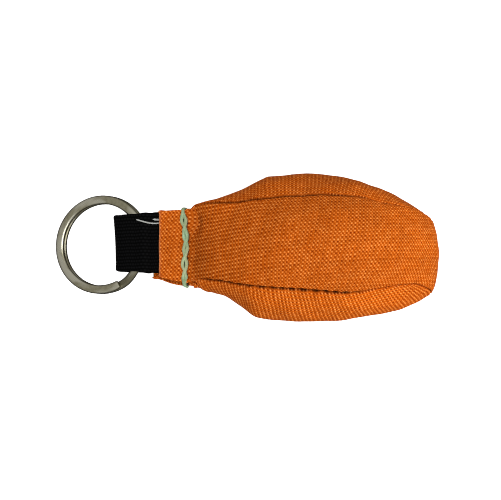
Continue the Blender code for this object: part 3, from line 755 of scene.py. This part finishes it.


# weave colours: the deep one painted shade, the middle one the yarn's own, the light one a painted
# highlight
DEEP_WEAVE_SHADE, MID, LIGHT_FLOAT_HIGHLIGHT = (0.24, 0.026, 0.0001), (0.60, 0.111, 0.0032), (0.98, 0.325, 0.068)
# pale colour of the mouth folds: painted highlight, with the coating rubbed pale
WORN_FOLD_HIGHLIGHT = (0.90, 0.40, 0.20)
MAT_WRAP = cloth_material("wrap_cloth", DEEP_WEAVE_SHADE, MID, LIGHT_FLOAT_HIGHLIGHT, WORN_FOLD_HIGHLIGHT)
MAT_SIDE = cloth_material("side_cloth", DEEP_WEAVE_SHADE, MID, LIGHT_FLOAT_HIGHLIGHT, WORN_FOLD_HIGHLIGHT, 1.02, "u", 0.30, 0.40, 0.28)
MAT_WEB = webbing_material("black_web")
MAT_PALE = thread_material("pale_sewing_thread", (0.17, 0.215, 0.08), (0.43, 0.66, 0.42),
                           (0.50, 0.52, 0.29))
# deep green cord colour that stands in for the stitch's shadow
MAT_STITCH_SHADOW = thread_material("stitch_shadow_thread", (0.005, 0.014, 0.006), (0.028, 0.055, 0.024),
                            (0.035, 0.045, 0.018))
MAT_LOOSE = thread_material("loose_thread", (0.22, 0.23, 0.22), (0.66, 0.68, 0.66),
                            (0.45, 0.45, 0.40))
MAT_SEAM = seam_thread_material("seam_sewing_thread", (0.30, 0.05, 0.004), (0.62, 0.14, 0.02))
MAT_STEEL = steel_material("satin_nickel")
MAT_SHOT = shot_material("packed_shot")


# ---------------------------------------------------------------- cloth panels
EDGE_D = [0.0, 0.05, 0.14, 0.28, 0.46, 0.68, 0.95, 1.35]
FLANGE = [2.0, 1.35, 0.7]          # beyond the roll, seam allowance inside


def weave_uv(x, y):
    """Flat pattern millimetres to threads: the cloth is cut a little off grain."""
    x, y = x / 1.0, y / 1.0
    return np.stack([0.811 * x - 0.141 * y, -0.0637 * x + 0.805 * y], -1)


def columns(length, m_mid):
    """Distances from the first seam, for rows of the given lengths."""
    e = np.array(EDGE_D)
    length = np.asarray(length, float)[:, None]
    k = np.minimum(1.0, length / (2.6 * e[-1]))
    left = e[None, :] * k
    mid = left[:, -1:] + (length - 2 * left[:, -1:]) * np.linspace(0, 1, m_mid + 2)[None, 1:-1]
    right = length - left[:, ::-1]
    return np.concatenate([left, mid, right], axis=1)


# how much painted shade a seam's gap gets along the wrap: more where it stands open, less towards the tail
def seam_shade(u, side):
    far = smoothstep(S_CREASE + 62, S_CREASE + 72, u)
    return np.clip(0.25 + 3.2 * (slit(u, side) - 0.06), 0.0, 1.0) * (1 - (0.85 if side < 0 else 0.55) * far)


def build_wrap():
    # rows along the strip, closer together over the two mouth folds
    def rows(a, b, step):
        n = max(2, int(round((b - a) / step)))
        return np.linspace(a, b, n, endpoint=False)
    m0, m1 = WRAP_S[5], S_MOUTH_T
    m2, m3 = S_MOUTH_B, WRAP_S[TOTAL_ROWS - 6]
    u = np.concatenate([rows(0, m0, 0.9), rows(m0, m1, 0.16), rows(m1, S_CREASE + 6, 0.42),
                        rows(S_CREASE + 6, m2 - 22, 0.6), rows(m2 - 22, m2, 0.45),
                        rows(m2, m3, 0.16), rows(m3, WRAP_S[-1], 0.9), [WRAP_S[-1]]])
    n = len(u)
    # half width along the cloth: the arc from the middle to a seam
    r = smooth_through(WRAP_S, WRAP_A, u)
    vs = np.linspace(-1, 1, 41)
    line = wrap_points(u[:, None], vs[None, :])
    run = np.concatenate([np.zeros((n, 1)), np.cumsum(np.linalg.norm(
        np.diff(line, axis=1), axis=2), axis=1)], axis=1)
    length = run[:, -1]
    d = columns(length, 44)
    v = np.stack([np.interp(d[i], run[i], vs) for i in range(n)])
    p = wrap_points(u[:, None], v)
    nrm = -grid_normals(p)
    if nrm[n // 3, d.shape[1] // 2, 2] < 0:
        nrm = -nrm
    base_n = blur(nrm, 1.5, 0)
    base_n = unit(base_n)
    on_bag = smoothstep(S_CREASE - 1.0, S_CREASE + 9.0, u) * (1 - smoothstep(
        WRAP_S[N_TOP + len(BAG) - 1] - 8.0, WRAP_S[N_TOP + len(BAG) - 1] + 1.0, u))
    d_r, d_l = d, length[:, None] - d            # from the -Y and the +Y seam
    # packed shot makes the cloth slightly lumpy; seams gather it
    disp = 0.16 * lumps(p, 11.0) * on_bag[:, None]
    disp += 0.05 * lumps(p + 40.0, 5.0) * on_bag[:, None]
    for side, dd in ((-1, d_r), (1, d_l)):
        wave = pucker(u, side)[:, None] * on_bag[:, None]
        disp += 0.17 * wave * np.exp(-(dd / 3.0) ** 1.3)
    # gathers that run from the closing stitch up the bag
    y = p[..., 1]
    near = np.exp(-np.maximum(np.abs(u - S_CREASE) - 1.0, 0) / 4.5)[:, None]
    fold = (np.sin(y * 2 * pi / 6.7 + 0.9) + 0.6 * np.sin(y * 2 * pi / 4.1 + 2.0)
            + 0.5 * np.sin(y * 2 * pi / 10.3))
    disp += 0.14 * near * fold * (u > S_MOUTH_T - 1)[:, None] * smoothstep(
        S_MOUTH_T, S_MOUTH_T + 5, u)[:, None]
    # the neck plies are not quite flat
    ply = smoothstep(S_MOUTH_T - 3, S_MOUTH_T + 1, u) * (1 - smoothstep(
        S_CREASE - 5, S_CREASE - 1, u))
    ply2 = smoothstep(S_MOUTH_B - 12, S_MOUTH_B - 8, u) * (1 - smoothstep(
        S_MOUTH_B, S_MOUTH_B + 2, u))
    disp += 0.10 * lumps(p * 1.0 + 9.0, 9.0) * (ply + ply2)[:, None]
    p = p + base_n * disp[..., None]
    # a flat triangle of cloth beside the stitch pushes the crease outwards
    tri = 2.3 * np.maximum(0.0, 1 - np.abs(y - 7.6) / 5.6) ** 1.1
    w_u = np.exp(-((u - (S_CREASE + 1.0)) / 2.6) ** 2)[:, None]
    p[..., 0] += tri * w_u * 0.9
    # edges turn down into the seams
    inner_hem = (u < WRAP_S[6]) | (u > WRAP_S[TOTAL_ROWS - 7])
    r_edge = np.where(inner_hem, 0.25, SEAM_R)
    near_fold = np.minimum(np.abs(u - WRAP_S[10]), np.abs(u - WRAP_S[TOTAL_ROWS - 11]))
    r_edge = np.where(near_fold < 3.0, 0.25 + (SEAM_R - 0.25) * smoothstep(
        1.0, 3.0, near_fold), r_edge)
    r_edge = np.where(inner_hem, 0.25, r_edge)
    fl = np.where(r_edge < 0.9, 0.12, 1.0)
    for side, dd in ((-1, d_r), (1, d_l)):
        b = seam_b(side, u)
        depth = r_edge * (1 + 0.3 * pucker(u, side) * on_bag)
        p += b[:, None, :] * (depth[:, None] * roll(dd, r_edge[:, None]))[..., None]
        p[..., 1] -= side * (slit(u, side) * on_bag)[:, None] * (1 - smoothstep(0.1, 1.3, dd))
    cols = []
    for side in (-1, 1):
        b = seam_b(side, u)
        q = p[:, 0] if side < 0 else p[:, -1]
        own = np.zeros_like(q)
        own[:, 1] = -side * 0.03
        ext = [q + own + b * (f * fl)[:, None] for f in FLANGE]
        cols.append(ext if side < 0 else ext[::-1])
    grid = np.stack(cols[0] + [p[:, j] for j in range(p.shape[1])] + cols[1], axis=1)
    dist = np.concatenate([-np.array(FLANGE)[None, :] * fl[:, None], d,
                           (length[:, None] + np.array(FLANGE[::-1])[None, :] * fl[:, None])], 1)
    grid = settle(grid)
    nn = -grid_normals(grid)
    if nn[n // 3, grid.shape[1] // 2, 2] < 0:
        nn = -nn
    inner = grid - nn * SKIN
    # flat pattern coordinates: along the strip, and across from its middle line
    mid = np.interp(np.zeros(n), [0], [0]) + length / 2
    flat_x = np.repeat(u[:, None], grid.shape[1], 1)
    flat_y = dist - mid[:, None] + r[:, 2:3]
    uv = weave_uv(flat_x + r[0, 0], flat_y)
    # pale line along the mouth folds, mostly the upper one: a painted highlight where the fold catches the
    # light, with the coating rubbed pale; painted shade along the seams where they stand open
    tip = np.exp(-((u - WRAP_S[11]) / 0.55) ** 2) + 0.5 * np.exp(
        -((u - WRAP_S[TOTAL_ROWS - 12]) / 0.5) ** 2)
    fold_highlight_and_wear = np.repeat((0.6 * tip)[:, None], grid.shape[1], 1)
    fold_highlight_and_wear = np.clip(fold_highlight_and_wear, 0, 1)
    seam_painted_shade = np.zeros_like(fold_highlight_and_wear)
    for side, d0 in ((-1, dist), (1, length[:, None] - dist)):
        seam_painted_shade = np.maximum(seam_painted_shade, seam_shade(u, side)[:, None] * np.exp(
            -(np.maximum(d0, 0.0) / 0.42) ** 2) * on_bag[:, None])
    # painted shade in the crease behind the stitch, painted light on the flat neck ply and towards the
    # tail, and painted shade on the bag's -Y half; the weave turns to rows where the cloth is gathered
    at = u - S_CREASE
    painted_light_tone = 0.06 * smoothstep(S_MOUTH_T - 3, S_MOUTH_T, u) * (1 - smoothstep(-3, 0, at))
    painted_light_tone = painted_light_tone + np.interp(at, [-2.5, 0.5, 3.5, 6.5, 11.0, 21.0, 34.0, 66.0, 76.0, 82.0],
                            [0.0, -0.24, -0.30, -0.17, -0.04, 0.03, -0.05, -0.05, 0.03, 0.05])
    painted_light_tone = blur(painted_light_tone[:, None], 2.0, 0)
    full = np.concatenate([p[:, :1, 1]] * len(FLANGE) + [p[..., 1]] + [p[:, -1:, 1]] * len(FLANGE), 1)
    painted_light_tone = painted_light_tone - 0.09 * on_bag[:, None] * (1 - smoothstep(-9.0, 4.0, full))
    row = (1 - smoothstep(6.0, 44.0, at))[:, None] * smoothstep(-3.0, 2.0, at)[:, None]
    row = np.repeat(row, grid.shape[1], 1)
    attrs = {"fold_highlight_and_wear": fold_highlight_and_wear, "seam": seam_painted_shade, "painted_light_tone": painted_light_tone, "row": row}
    return closed_sheet("bag_wrap", grid, inner, uv, MAT_WRAP, attrs)


def build_side(name, side):
    """A side panel with its seam allowances turned in."""
    s_mid = np.linspace(0, 1, 400)
    mid = side_points(side, s_mid, 0.0)
    run_s = np.concatenate([[0.0], np.cumsum(np.linalg.norm(np.diff(mid, axis=0), axis=1))])
    total = run_s[-1]
    ds = np.concatenate([np.linspace(0, total - 1.35, int(total / 0.58)),
                         total - np.array(EDGE_D[:-1][::-1])])
    s = np.interp(ds, run_s, s_mid)
    s[-1] = 1.0
    n = len(s)
    ts = np.linspace(-1, 1, 61)
    line = side_points(side, s[:, None], ts[None, :])
    run = np.concatenate([np.zeros((n, 1)), np.cumsum(np.linalg.norm(
        np.diff(line, axis=1), axis=2), axis=1)], axis=1)
    length = run[:, -1]
    d = columns(length, 52)
    t = np.stack([np.interp(d[i], run[i], ts) for i in range(n)])
    p = side_points(side, s[:, None], t)
    nrm = grid_normals(p)
    if nrm[n // 2, d.shape[1] // 2, 1] * side < 0:
        nrm = -nrm
    nrm = unit(blur(nrm, 1.0, 0))
    d_b, d_t = d, length[:, None] - d
    d_e = (total - ds)[:, None] * np.ones_like(d)
    u_top = S_SIDE0 + (S_TOP - S_SIDE0) * s
    u_bot = S_SIDE1 + (S_BOT - S_SIDE1) * s
    across, _ = arc_across(t)
    u_tail = S_BOT + (S_TOP - S_BOT) * (across + 1) / 2
    full = smoothstep(2.0, 14.0, ds)[:, None]
    disp = 0.18 * lumps(p, 11.0) * full + 0.05 * lumps(p + 40.0, 5.0) * full
    disp = disp + 0.17 * (pucker(u_top, side)[:, None] * np.exp(-(d_t / 3.0) ** 1.3)
                          + pucker(u_bot, side)[:, None] * np.exp(-(d_b / 3.0) ** 1.3)) * full
    disp = disp + 0.12 * pucker(u_tail, side) * np.exp(-(d_e / 2.6) ** 1.3)
    p = p + nrm * disp[..., None]
    f_t, f_b, f_e = roll(d_t, SEAM_R), roll(d_b, SEAM_R), roll(d_e, SEAM_R)
    b_t, b_b, b_e = seam_b(side, u_top), seam_b(side, u_bot), seam_b(side, u_tail)
    total_f = np.maximum(np.maximum(f_t, f_b), f_e)
    w = f_t + f_b + f_e + 1e-9
    direction = unit((b_t[:, None, :] * f_t[..., None] + b_b[:, None, :] * f_b[..., None]
                      + b_e * f_e[..., None]) / w[..., None] + 1e-12)
    dep = SEAM_R * (1 + 0.3 * (pucker(u_top, side)[:, None] * (f_t > f_b)
                               + pucker(u_bot, side)[:, None] * (f_b >= f_t)) * full * (f_e < 0.01))
    p = p + direction * (dep * total_f)[..., None]
    p[..., 2] -= (slit(u_top, side)[:, None] * (1 - smoothstep(0.1, 1.3, d_t)) * full
                  - slit(u_bot, side)[:, None] * (1 - smoothstep(0.1, 1.3, d_b)) * full)
    ut = np.concatenate([u_top, np.repeat(u_top[-1:], 3)])
    ub = np.concatenate([u_bot, np.repeat(u_bot[-1:], 3)])
    # seam allowances
    fl = np.minimum(1.0, length / 14.0)
    low = [p[:, 0] + b_b * (f * fl)[:, None] + np.array([0, 0, 0.05]) for f in FLANGE]
    top = [p[:, -1] + b_t * (f * fl)[:, None] - np.array([0, 0, 0.05]) for f in FLANGE[::-1]]
    grid = np.stack(low + [p[:, j] for j in range(p.shape[1])] + top, axis=1)
    b_tail = np.concatenate([np.repeat(b_e[-1:, :1], 3, 1), b_e[-1:], np.repeat(
        b_e[-1:, -1:], 3, 1)], axis=1)[0]
    extra = [grid[-1] + b_tail * f + np.array([-0.05, 0, 0]) for f in FLANGE[::-1]]
    grid = np.concatenate([grid, np.stack(extra)], axis=0)
    ds = np.concatenate([ds, total + np.array(FLANGE[::-1])])
    dist = np.concatenate([-np.array(FLANGE)[None, :] * fl[:, None], d,
                           length[:, None] + np.array(FLANGE[::-1])[None, :] * fl[:, None]], 1)
    dist = np.concatenate([dist, np.repeat(dist[-1:], 3, 0)])
    length = np.concatenate([length, np.repeat(length[-1:], 3)])
    if side > 0:
        grid, dist = grid, dist
    grid = settle(grid)
    nn = grid_normals(grid)
    flip = nn[n // 2, grid.shape[1] // 2, 1] * side < 0
    if flip:
        nn = -nn
    inner = grid - nn * SKIN
    flat_y = dist - length[:, None] / 2
    flat_x = np.repeat(ds[:, None], grid.shape[1], 1)
    lean = 0.04 if side < 0 else -0.12
    uv = np.stack([(flat_x + lean * flat_y) / THREAD, flat_y / THREAD * 1.02], -1)
    fold_highlight_and_wear = np.zeros(grid.shape[:2])
    # painted shade along the top and bottom seams and the tail edge
    seam_painted_shade = np.maximum(seam_shade(ut, side)[:, None] * np.exp(-(np.maximum(
        length[:, None] - dist, 0) / 0.42) ** 2), seam_shade(ub, side)[:, None] * np.exp(
        -(np.maximum(dist, 0) / 0.42) ** 2))
    seam_painted_shade = np.maximum(seam_painted_shade, 0.3 * np.exp(-(np.maximum(total - ds, 0) / 0.4) ** 2)[:, None])
    seam_painted_shade = seam_painted_shade * smoothstep(2.0, 8.0, ds)[:, None]
    if flip:
        grid, inner, uv, seam_painted_shade = grid[:, ::-1], inner[:, ::-1], uv[:, ::-1], seam_painted_shade[:, ::-1]
    return closed_sheet(name, grid, inner, uv, MAT_SIDE,
                        {"fold_highlight_and_wear": fold_highlight_and_wear, "seam": seam_painted_shade, "painted_light_tone": np.zeros_like(fold_highlight_and_wear),
                         "row": np.full_like(fold_highlight_and_wear, 1.0 if side < 0 else 0.0)})


wrap = build_wrap()
left = build_side("bag_side_left", 1)
right = build_side("bag_side_right", -1)
for ob, nodes in ((wrap, ("wrap_panel", "neck_upper_ply", "neck_lower_ply")),
                  (left, ("left_gusset",)), (right, ("right_gusset",))):
    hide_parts(*nodes)
    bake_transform(ob)


# ---------------------------------------------------------------- webbing
def build_webbing():
    upper = [(WEB_TAIL, 0.2), (8.0, 0.2), (13.9, 0.2), (15.0, 0.45), (16.0, 1.25),
             (17.0, 1.95), (20.0, 1.95), (24.0, 1.95), (25.6, 1.8), (26.6, 1.5)]
    cx, rz = 26.6, 1.5
    rx = WEB_FOLD - WEB_T - cx
    inside = list(upper) + [(cx + rx * sin(a), rz * cos(a))
                            for a in np.linspace(0, pi, 13)[1:-1]]
    inside += [(s, -h) for s, h in reversed(upper)]
    inside = np.array(inside)
    run = np.concatenate([[0.0], np.cumsum(np.hypot(*np.diff(inside, axis=0).T))])
    at = np.arange(0.0, run[-1], 0.3)
    path = smooth_through(run, inside, at)
    path = blur(path, 1.5)
    tan = unit(np.gradient(path, axis=0))
    out_n = np.stack([-tan[:, 1], tan[:, 0]], axis=1)
    half_t = WEB_T / 2
    mid = path + out_n * half_t
    # closed cross-section: two faces and rounded selvedges
    rows, uvs = [], []
    nf = 40
    for k, (c, o) in enumerate(zip(mid, out_n)):
        f = min(max((c[0] - 13.5) / (WEB_FOLD - 13.5), 0.0), 1.0)
        w = WEB_W0 + (WEB_W1 - WEB_W0) * f - 0.25 * sin(pi * f)
        my = WEB_Y0 + (WEB_Y1 - WEB_Y0) * f
        w += 0.10 * sin(at[k] * 2.1) * sin(at[k] * 0.37)
        ys = np.linspace(-1, 1, nf)
        edge = 0.55
        across = ys * (w / 2 - edge)
        cord = 0.055 * np.abs(np.sin((across + 20) * pi / 1.05)) ** 0.8
        wobble = 0.05 * sin(at[k] * 1.3 + 1.0)
        top = [(my + a, half_t - 0.03 + q) for a, q in zip(across, cord)]
        bot = [(my + a, -half_t + 0.03 - q) for a, q in zip(across[::-1], cord[::-1])]
        ends = []
        for a in np.linspace(pi / 2, -pi / 2, 9)[1:-1]:
            ends.append((my + w / 2 - edge + edge * cos(a), (half_t - 0.03) * sin(a)))
        ends2 = []
        for a in np.linspace(-pi / 2, -3 * pi / 2, 9)[1:-1]:
            ends2.append((my - w / 2 + edge + edge * cos(a), (half_t - 0.03) * sin(a)))
        sec = top + ends + bot + ends2
        lean = float(smoothstep(20.0, 28.8, c[0]))

        def pull(y):
            """The fold slants and is a little hollow across its middle."""
            yn = (y - my) / (w / 2)
            return lean * (0.5 * (1 - yn) * 1.0 + 0.3 * (1 - yn * yn))
        rows.append([neck_point(c[0] + o[0] * h - pull(y), c[1] + o[1] * h, y + wobble)
                     for y, h in sec])
        uvs.append([(at[k], y) for y, h in sec])
    rows, uvs = np.array(rows), np.array(uvs)
    n, m = rows.shape[:2]
    verts = rows.reshape(-1, 3)
    faces = []
    for i in range(n - 1):
        for j in range(m):
            k = (j + 1) % m
            faces.append((i * m + j, i * m + k, (i + 1) * m + k, (i + 1) * m + j))
    faces.append(tuple(range(m))[::-1])
    faces.append(tuple((n - 1) * m + j for j in range(m)))
    ob = build_mesh("web_loop", verts, faces, MAT_WEB, uvs.reshape(-1, 2), None, 50)
    return ob


web = build_webbing()
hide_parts("webbing_loop")
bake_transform(web)


# ---------------------------------------------------------------- split ring
def build_ring():
    per_turn, sides = 150, 28
    start = RING_JOG0 + RING_JOG + radians(6.0)
    total = 4 * pi - RING_JOG - radians(2.0)
    n = int(round(total / (2 * pi / per_turn)))
    mid_r = RING_OD / 2 - RING_W / 2
    rows, uvs, wire_painted_shade = [], [], []
    for i in range(n + 1):
        a = total * i / n
        k = min(max((a - (2 * pi - RING_JOG)) / RING_JOG, 0.0), 1.0)
        level = -RING_STEP + 2 * RING_STEP * (3 * k**2 - 2 * k**3)
        # the free ends are cut square with a small filed bevel
        end = min(i, n - i) / per_turn * 2 * pi * mid_r
        shrink = 1.0 - 0.12 * (1 - min(1.0, end / 0.35)) ** 2
        g = start + a
        row = []
        for j in range(sides):
            b = 2 * pi * (j + 0.5) / sides
            c, q = cos(b), sin(b)
            # painted shade factors: the wire's inner and outer edges, and the whole lower turn
            wire_painted_shade.append((abs(c) ** 5, 1.0 - k))
            f = (abs(c) ** 2.25 + abs(q) ** 2.25) ** (-1 / 2.25)
            r = mid_r + (RING_W / 2) * c * f * shrink
            h = level + (RING_T / 2) * q * f * shrink
            # the lower turn has sprung a little out of line with the upper one
            row.append(neck_point(RING_AT - r * cos(g) - 0.42 * (1 - k) ** 2, h,
                                  RING_Y + r * sin(g)))
        rows.append(row)
        uvs.append([(a * mid_r, 8.0 * j / sides) for j in range(sides)])
    m = sides
    faces = []
    for i in range(n):
        for j in range(m):
            k = (j + 1) % m
            faces.append((i * m + j, i * m + k, (i + 1) * m + k, (i + 1) * m + j))
    faces.append(tuple(range(m))[::-1])
    faces.append(tuple(n * m + j for j in range(m)))
    wire_painted_shade = np.array(wire_painted_shade)
    return build_mesh("key_ring", np.array(rows).reshape(-1, 3), faces, MAT_STEEL,
                      np.array(uvs).reshape(-1, 2), {"wire_painted_shade": wire_painted_shade[:, 0], "lower_turn_painted_shade": wire_painted_shade[:, 1]}, 40)


ring = build_ring()
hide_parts("split_ring")
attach(ring, "ring")


# ---------------------------------------------------------------- closing stitch
STITCH_S = [(-14, 3.65), (-12, 3.55), (-9.5, 3.25), (-7, 3.15), (-4.5, 3.2), (-2, 3.0),
            (1, 2.75), (4, 2.9), (7, 3.3), (9.5, 3.7), (12, 4.05), (15, 4.2)]


def stitch_lap(phase, swing, lift, side_gain):
    """One turn of thread round the neck, closed by coming back to its start."""
    tab = np.array(STITCH_S)
    n = 420
    half_h, lo, hi = 2.34 + 0.34, -12.0, 12.55
    th = np.linspace(0, 2 * pi, n, endpoint=False)
    c, q = np.cos(th), np.sin(th)
    f = (np.abs(c) ** 6 + np.abs(q) ** 6) ** (-1 / 6)
    fine = np.stack([(lo + hi) / 2 + (hi - lo) / 2 * c * f, half_h * q * f], -1)
    run = np.concatenate([[0.0], np.cumsum(np.hypot(*np.diff(fine, axis=0).T))])
    at = np.linspace(0, run[-1], n)
    y = np.interp(at, run, fine[:, 0])
    h = np.interp(at, run, fine[:, 1])
    s = np.interp(y, tab[:, 0], tab[:, 1])
    wave = np.cos(2 * pi * y / 9.4 + phase)
    ends = 1 - 0.7 * smoothstep(9.0, 12.0, np.abs(y - 0.27))
    s = s + swing * wave * (0.85 + 0.15 * np.sin(y * 0.9)) * ends
    s = s + 0.36 * np.maximum(-h, 0.0) * smoothstep(9.5, 11.5, np.abs(y - 0.27))
    h = h + np.sign(h) * lift * (0.5 + 0.5 * np.sin(2 * pi * y / 9.4 + phase))
    x, z = neck_xz(s, h)
    return np.stack([x, y, z], -1)


def build_stitch():
    parts = []
    for phase in (0.4, 0.4 + pi):
        path = stitch_lap(phase, 0.72, 0.20, 1.0)
        parts.append(lobed_cord("", path, 0.57, None, 3, 0.5, 18, 0.18))
    return joined("closing_stitch_thread", parts, MAT_PALE, 75)


stitch = build_stitch()
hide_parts("closing_stitch")
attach(stitch, "neck")


def build_stitch_shadow_cord():
    """A deep green cord beneath the pale strands that shows between and beside them as painted shadow."""
    mx = np.array([M_X, 0.0, M_Z])
    parts = []
    for phase in (0.4, 0.4 + pi):
        path = stitch_lap(phase, 0.70, 0.0, 1.0)
        hgt = (path - np.array([NECK_PIVOT[0], 0.0, NECK_PIVOT[1]])) @ mx
        path = path - np.sign(hgt)[:, None] * mx * 0.26 * smoothstep(0.8, 2.0, np.abs(hgt))[:, None]
        mid_y = 0.27
        path[:, 1] = mid_y + (path[:, 1] - mid_y) * 0.985
        parts.append(lobed_cord("", path, 0.60, None, 2, 0.5, 14, 0.08))
    path = stitch_lap(0.0, 0.0, 0.0, 1.0)
    hgt = (path - np.array([NECK_PIVOT[0], 0.0, NECK_PIVOT[1]])) @ mx
    path = path - np.sign(hgt)[:, None] * mx * 0.22 * smoothstep(0.8, 2.0, np.abs(hgt))[:, None]
    path[:, 1] = 0.27 + (path[:, 1] - 0.27) * 0.98
    parts.append(lobed_cord("", path, 0.42, None, 2, 0.5, 12, 0.08))
    return joined("closing_stitch_shadow", parts, MAT_STITCH_SHADOW, 75)


stitch_shadow_cord = build_stitch_shadow_cord()
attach(stitch_shadow_cord, "neck")


# ---------------------------------------------------------------- loose thread ends
def web_top(s, y):
    """Just above the webbing's upper face, or the neck ply where it is."""
    h = np.interp(s, [11.0, 13.9, 15.0, 16.0, 17.0, 24.0],
                  [1.42, 1.42, 1.75, 2.5, 3.17, 3.2])
    return neck_point(s, h + 0.22, y)


def build_loose():
    parts = []
    for pts, r in (([(10.8, 8.5), (11.9, 8.4), (13.8, 8.3), (15.75, 8.5), (17.7, 9.0),
                     (19.7, 9.6)], 0.25),
                   ([(10.8, 9.3), (11.9, 9.4), (13.2, 9.5), (14.6, 9.65)], 0.33)):
        a = np.array(pts, float)
        k = np.linspace(0, len(a) - 1, 46)
        c = smooth_through(np.arange(len(a)), a, k)
        path = np.array([web_top(s, y) for s, y in c])
        parts.append(lobed_cord("", path, r, None, 2, 1.0, 10, 0.2, 0.5))
    return joined("loose_thread_ends", parts, MAT_LOOSE, 75)


loose = build_loose()
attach(loose, "loop")


# ---------------------------------------------------------------- carried-over nodes
for node, mat in (("shot_fill", MAT_SHOT), ("left_seam_thread", MAT_SEAM),
                  ("right_seam_thread", MAT_SEAM)):
    o = frame["nodes"][node]
    o.data.materials.clear()
    o.data.materials.append(mat)


# ---------------------------------------------------------------- stage, light, camera
def build_stage():
    me = bpy.data.meshes.new("floor")
    r = 3.0
    z = -0.0002
    me.from_pydata([(-r, -r, z), (r, -r, z), (r, r, z), (-r, r, z)], [], [(0, 1, 2, 3)])
    m = Mat("pale_floor")
    tc = m.nt.nodes.new("ShaderNodeTexCoord")
    soft = m.noise(tc.outputs["Object"], 3.0, 2.0, 0.5)
    m.set(base=m.mix(soft, (0.86, 0.86, 0.86), (0.88, 0.88, 0.88)), rough=0.9, spec=0.1)
    m.bsdf.inputs["Emission Color"].default_value = (1.0, 1.0, 1.0, 1.0)
    m.bsdf.inputs["Emission Strength"].default_value = 0.72
    me.materials.append(m.m)
    ob = bpy.data.objects.new("floor", me)
    scene.collection.objects.link(ob)
    ob.visible_diffuse = False
    ob.visible_glossy = False


def area_light(name, direction, distance, size, power, glossy=False, colour=(1, 1, 1)):
    d = Vector(direction).normalized()
    centre = Vector((0.0, 0.0, 0.02))
    li = bpy.data.lights.new(name, "AREA")
    li.shape, li.size = "DISK", size
    li.energy = power
    li.color = colour
    ob = bpy.data.objects.new(name, li)
    ob.location = centre + d * distance
    ob.rotation_mode = "QUATERNION"
    ob.rotation_quaternion = d.to_track_quat("Z", "Y")
    scene.collection.objects.link(ob)
    ob.visible_glossy = glossy
    return ob


def build_world():
    w = bpy.data.worlds.new("studio")
    scene.world = w
    w.use_nodes = True
    nt = w.node_tree
    nt.nodes.clear()
    out = nt.nodes.new("ShaderNodeOutputWorld")
    bg = nt.nodes.new("ShaderNodeBackground")
    tc = nt.nodes.new("ShaderNodeTexCoord")
    sp = nt.nodes.new("ShaderNodeSeparateXYZ")
    nt.links.new(tc.outputs["Generated"], sp.inputs[0])

    def math_node(op, a, b=None, c=None):
        n = nt.nodes.new("ShaderNodeMath")
        n.operation = op
        for i, x in enumerate((a, b, c)):
            if x is None:
                continue
            if isinstance(x, bpy.types.NodeSocket):
                nt.links.new(x, n.inputs[i])
            else:
                n.inputs[i].default_value = x
        return n.outputs[0]
    up = nt.nodes.new("ShaderNodeMapRange")
    up.interpolation_type = "SMOOTHSTEP"
    nt.links.new(sp.outputs[2], up.inputs[0])
    for i, x in enumerate((-0.15, 0.55, 0.16, 0.46), start=1):
        up.inputs[i].default_value = x
    side = math_node("MULTIPLY_ADD", sp.outputs[0], 0.05, 1.0)
    nt.links.new(math_node("MULTIPLY", up.outputs[0], side), bg.inputs["Strength"])
    bg.inputs["Color"].default_value = (1.0, 0.985, 0.96, 1.0)
    nt.links.new(bg.outputs[0], out.inputs[0])


def build_camera():
    width, distance, mm_per_px = 501.0, 700.0, 0.318
    data = bpy.data.cameras.new("camera")
    data.sensor_width = 36.0
    data.lens = distance / (width * mm_per_px) * 36.0
    cam = bpy.data.objects.new("camera", data)
    scene.collection.objects.link(cam)
    el = radians(84.0)
    back = Vector((0.0, -cos(el), sin(el)))
    aim = Vector((CENTRE_X + 1.1, CENTRE_Y - 0.8, 20.0)) * MM
    cam.location = aim + back * distance * MM
    cam.rotation_mode = "QUATERNION"
    cam.rotation_quaternion = (-back).to_track_quat("-Z", "Y")
    scene.camera = cam


build_stage()
build_world()
area_light("key", (0.94, -0.2, 0.33), 0.9, 0.45, 5.2)
area_light("front", (-0.05, -0.92, 0.42), 0.9, 0.5, 3.4)
area_light("top", (0.12, -0.08, 1.0), 1.2, 0.8, 5.6, True)
area_light("back", (-0.6, 0.72, 0.35), 1.0, 0.5, 2.0)
build_camera()
scene.view_settings.view_transform = "Standard"
scene.view_settings.look = "None"
scene.view_settings.exposure = 0.0
scene.view_settings.gamma = 1.0
scene.cycles.filter_width = 1.0
